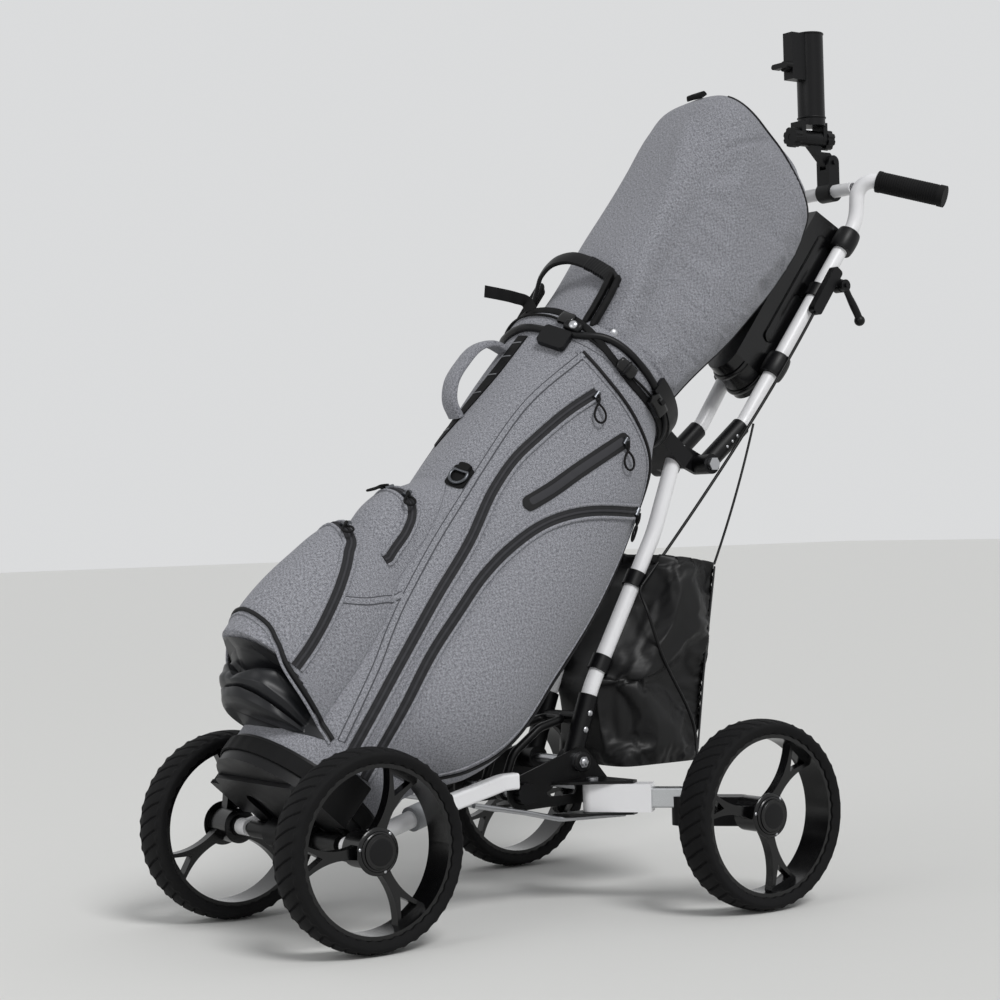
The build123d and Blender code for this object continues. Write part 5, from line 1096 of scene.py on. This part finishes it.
# Radius along a grip: ribs, a plain collar at each end and a groove by the outer one
step = np.arange(230)
ribbed = 16.9 + 0.8 * (step % 8 < 5)
ribbed[(step < 12) | (step > 208)] = 18.3
ribbed[(step > 202) & (step < 209)] = 16.8
for word, side in SIDES:
    mirror = np.array([side, 1, 1])
    make_sleeve("grip_ribs_" + word, *(GRIP * mirror), ribbed, grip_foam, "handle")
    for number, reach in enumerate((44, 58, 72)):
        place = (UPPER_SLEEVE + reach * UPPER_RUN) * mirror
        make_button(f"sleeve_rivet_{number}_{word}", place, LEFT * side, 2.6, 1.2, zinc, "handle")
    for number, reach in enumerate((50, 76)):
        place = (LOWER_SLEEVE + reach * LOWER_RUN) * mirror
        make_button(f"sleeve_bolt_{number}_{word}", place, LEFT * side, 5, 2.6, zinc, "base")
    foot = FOOT_BOLT * mirror
    make_button("foot_washer_" + word, foot, LEFT * side, 15.4, 3, satin, "base")
    make_button("foot_nut_" + word, foot + 2.4 * LEFT * side, LEFT * side, 7, 5, zinc, "base")
    for end, x, y in HUBS:
        wheel = f"{end}_{word}_wheel"
        face = np.array([(x + 19.6, y, AXLE_Z), (x + 28.8, y, AXLE_Z)]) * mirror
        make_sleeve(f"hub_face_{end}_{word}", *face, HUB_FACE, gloss, wheel)
        make_button(f"hub_plate_{end}_{word}", face[1], LEFT * side, 19, 1.2, satin, wheel)
        for number, angle in enumerate(np.radians((50, 170, 290))):
            screw = face[0] + np.array([2.0 * side, 29.6 * math.cos(angle), 29.6 * math.sin(angle)])
            make_button(f"hub_screw_{end}_{number}_{word}", screw, LEFT * side, 2.6, 1.6, zinc, wheel)
lever = np.array([(94.6, 511, 943), (94.6, 539, 899)])
make_sleeve("lever_grip", *lever, 4.2 + 2.2 * np.sin(np.linspace(0.3, 2.6, 24)), satin, "brake_lever")

# Tyres


def make_tyre(name, middle):
    """Foam tyre: a ring of rounded section, with waves along its shoulder and short sipes in its tread."""
    turn, treads = full_turn(540), 42
    wall = [(-27, 119.2), (-30.4, 126), (-31, 131), (-28.5, 134.2), (-24.5, 136)]
    section = np.array(wall + [(-21, 137), (-12, 139.2), (0, 140)])
    section = np.vstack([section, section[-2::-1] * [-1, 1]])
    fine = through(section, 64)
    shoulder = np.exp(-(((np.abs(fine[:, 0]) - 25.5) / 2.2) ** 2))
    tread = np.clip((24 - np.abs(fine[:, 0])) / 4, 0, 1) * np.clip((fine[:, 1] - 134) / 2, 0, 1)
    wave = 1.6 * shoulder[None] * np.sin(treads * turn)[:, None]
    sipes = -2.2 * tread[None] * (np.sin(treads * turn[:, None] + 0.16 * fine[None, :, 0]) > 0.9)
    reach = fine[None, :, 1] + wave + sipes
    x = np.broadcast_to(fine[None, :, 0], reach.shape)
    points = np.stack([x, reach * np.cos(turn)[:, None], reach * np.sin(turn)[:, None]], axis=-1) + middle
    body = name + "_wheel"
    piece = make_piece(name + "_foam_tyre", points, foam_tyre, body, loop=True, ring=True, sharp=35)
    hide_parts(name + "_tyre")


for wheel in ("front_left", "front_right", "rear_left", "rear_right"):
    low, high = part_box(wheel + "_tyre")
    make_tyre(wheel, 500 * np.array(low + high))

# Finishes of the frame's own pieces

for part in frame["record"]["subparts"]:
    cad[part["node"]].data.materials.clear()
    cad[part["node"]].data.materials.append(FINISH[part["material_slot"]])

# Studio


def add_lamp(name, kind, place, aim, power, **settings):
    """Lamp at a place, its axis turned towards aim."""
    lamp = bpy.data.objects.new(name, bpy.data.lights.new(name, kind))
    lamp.data.energy = power
    for key, value in settings.items():
        setattr(lamp.data, key, value)
    lamp.location = place
    lamp.rotation_euler = (Vector(aim) - Vector(place)).to_track_quat("-Z", "Y").to_euler()
    scene.collection.objects.link(lamp)


def make_floor():
    """Pale floor: one square, 60 m wide."""
    far = 30000
    corners = [[(-far, -far, -0.5), (far, -far, -0.5)], [(-far, far, -0.5), (far, far, -0.5)]]
    pale = make_moulded("pale_floor", "#dcdcda", 0.85, 40, 0.2)
    make_piece("floor", np.array(corners, float), pale, None)


def make_world():
    """Pale world: dimmer as a light than as the background that eye, metal and glass see."""
    world = bpy.data.worlds.new("studio")
    world.use_nodes = True
    tree = world.node_tree
    path = add_node(tree, "ShaderNodeLightPath").outputs
    seen = path["Is Camera Ray"]
    for kind in ("Is Glossy Ray", "Is Transmission Ray"):
        seen = add_node(tree, "ShaderNodeMath", {0: seen, 1: path[kind]}, operation="MAXIMUM").outputs[0]
    backdrop = tree.nodes["Background"].inputs
    backdrop["Color"].default_value = linear("#f4f5f6")
    level = {"Value": seen, "To Min": 0.5, "To Max": 0.78}
    add_node(tree, "ShaderNodeMapRange", level, backdrop["Strength"])
    scene.world = world


make_floor()
make_world()
add_lamp("key_lamp", "SUN", (3.0, -0.4, 3.6), (0, 0, 0.4), 1.7, angle=0.35)
add_lamp("fill_lamp", "AREA", (0.4, -4.2, 2.0), (0, 0, 0.6), 28, size=2.5)
scene.view_settings.view_transform = "Standard"
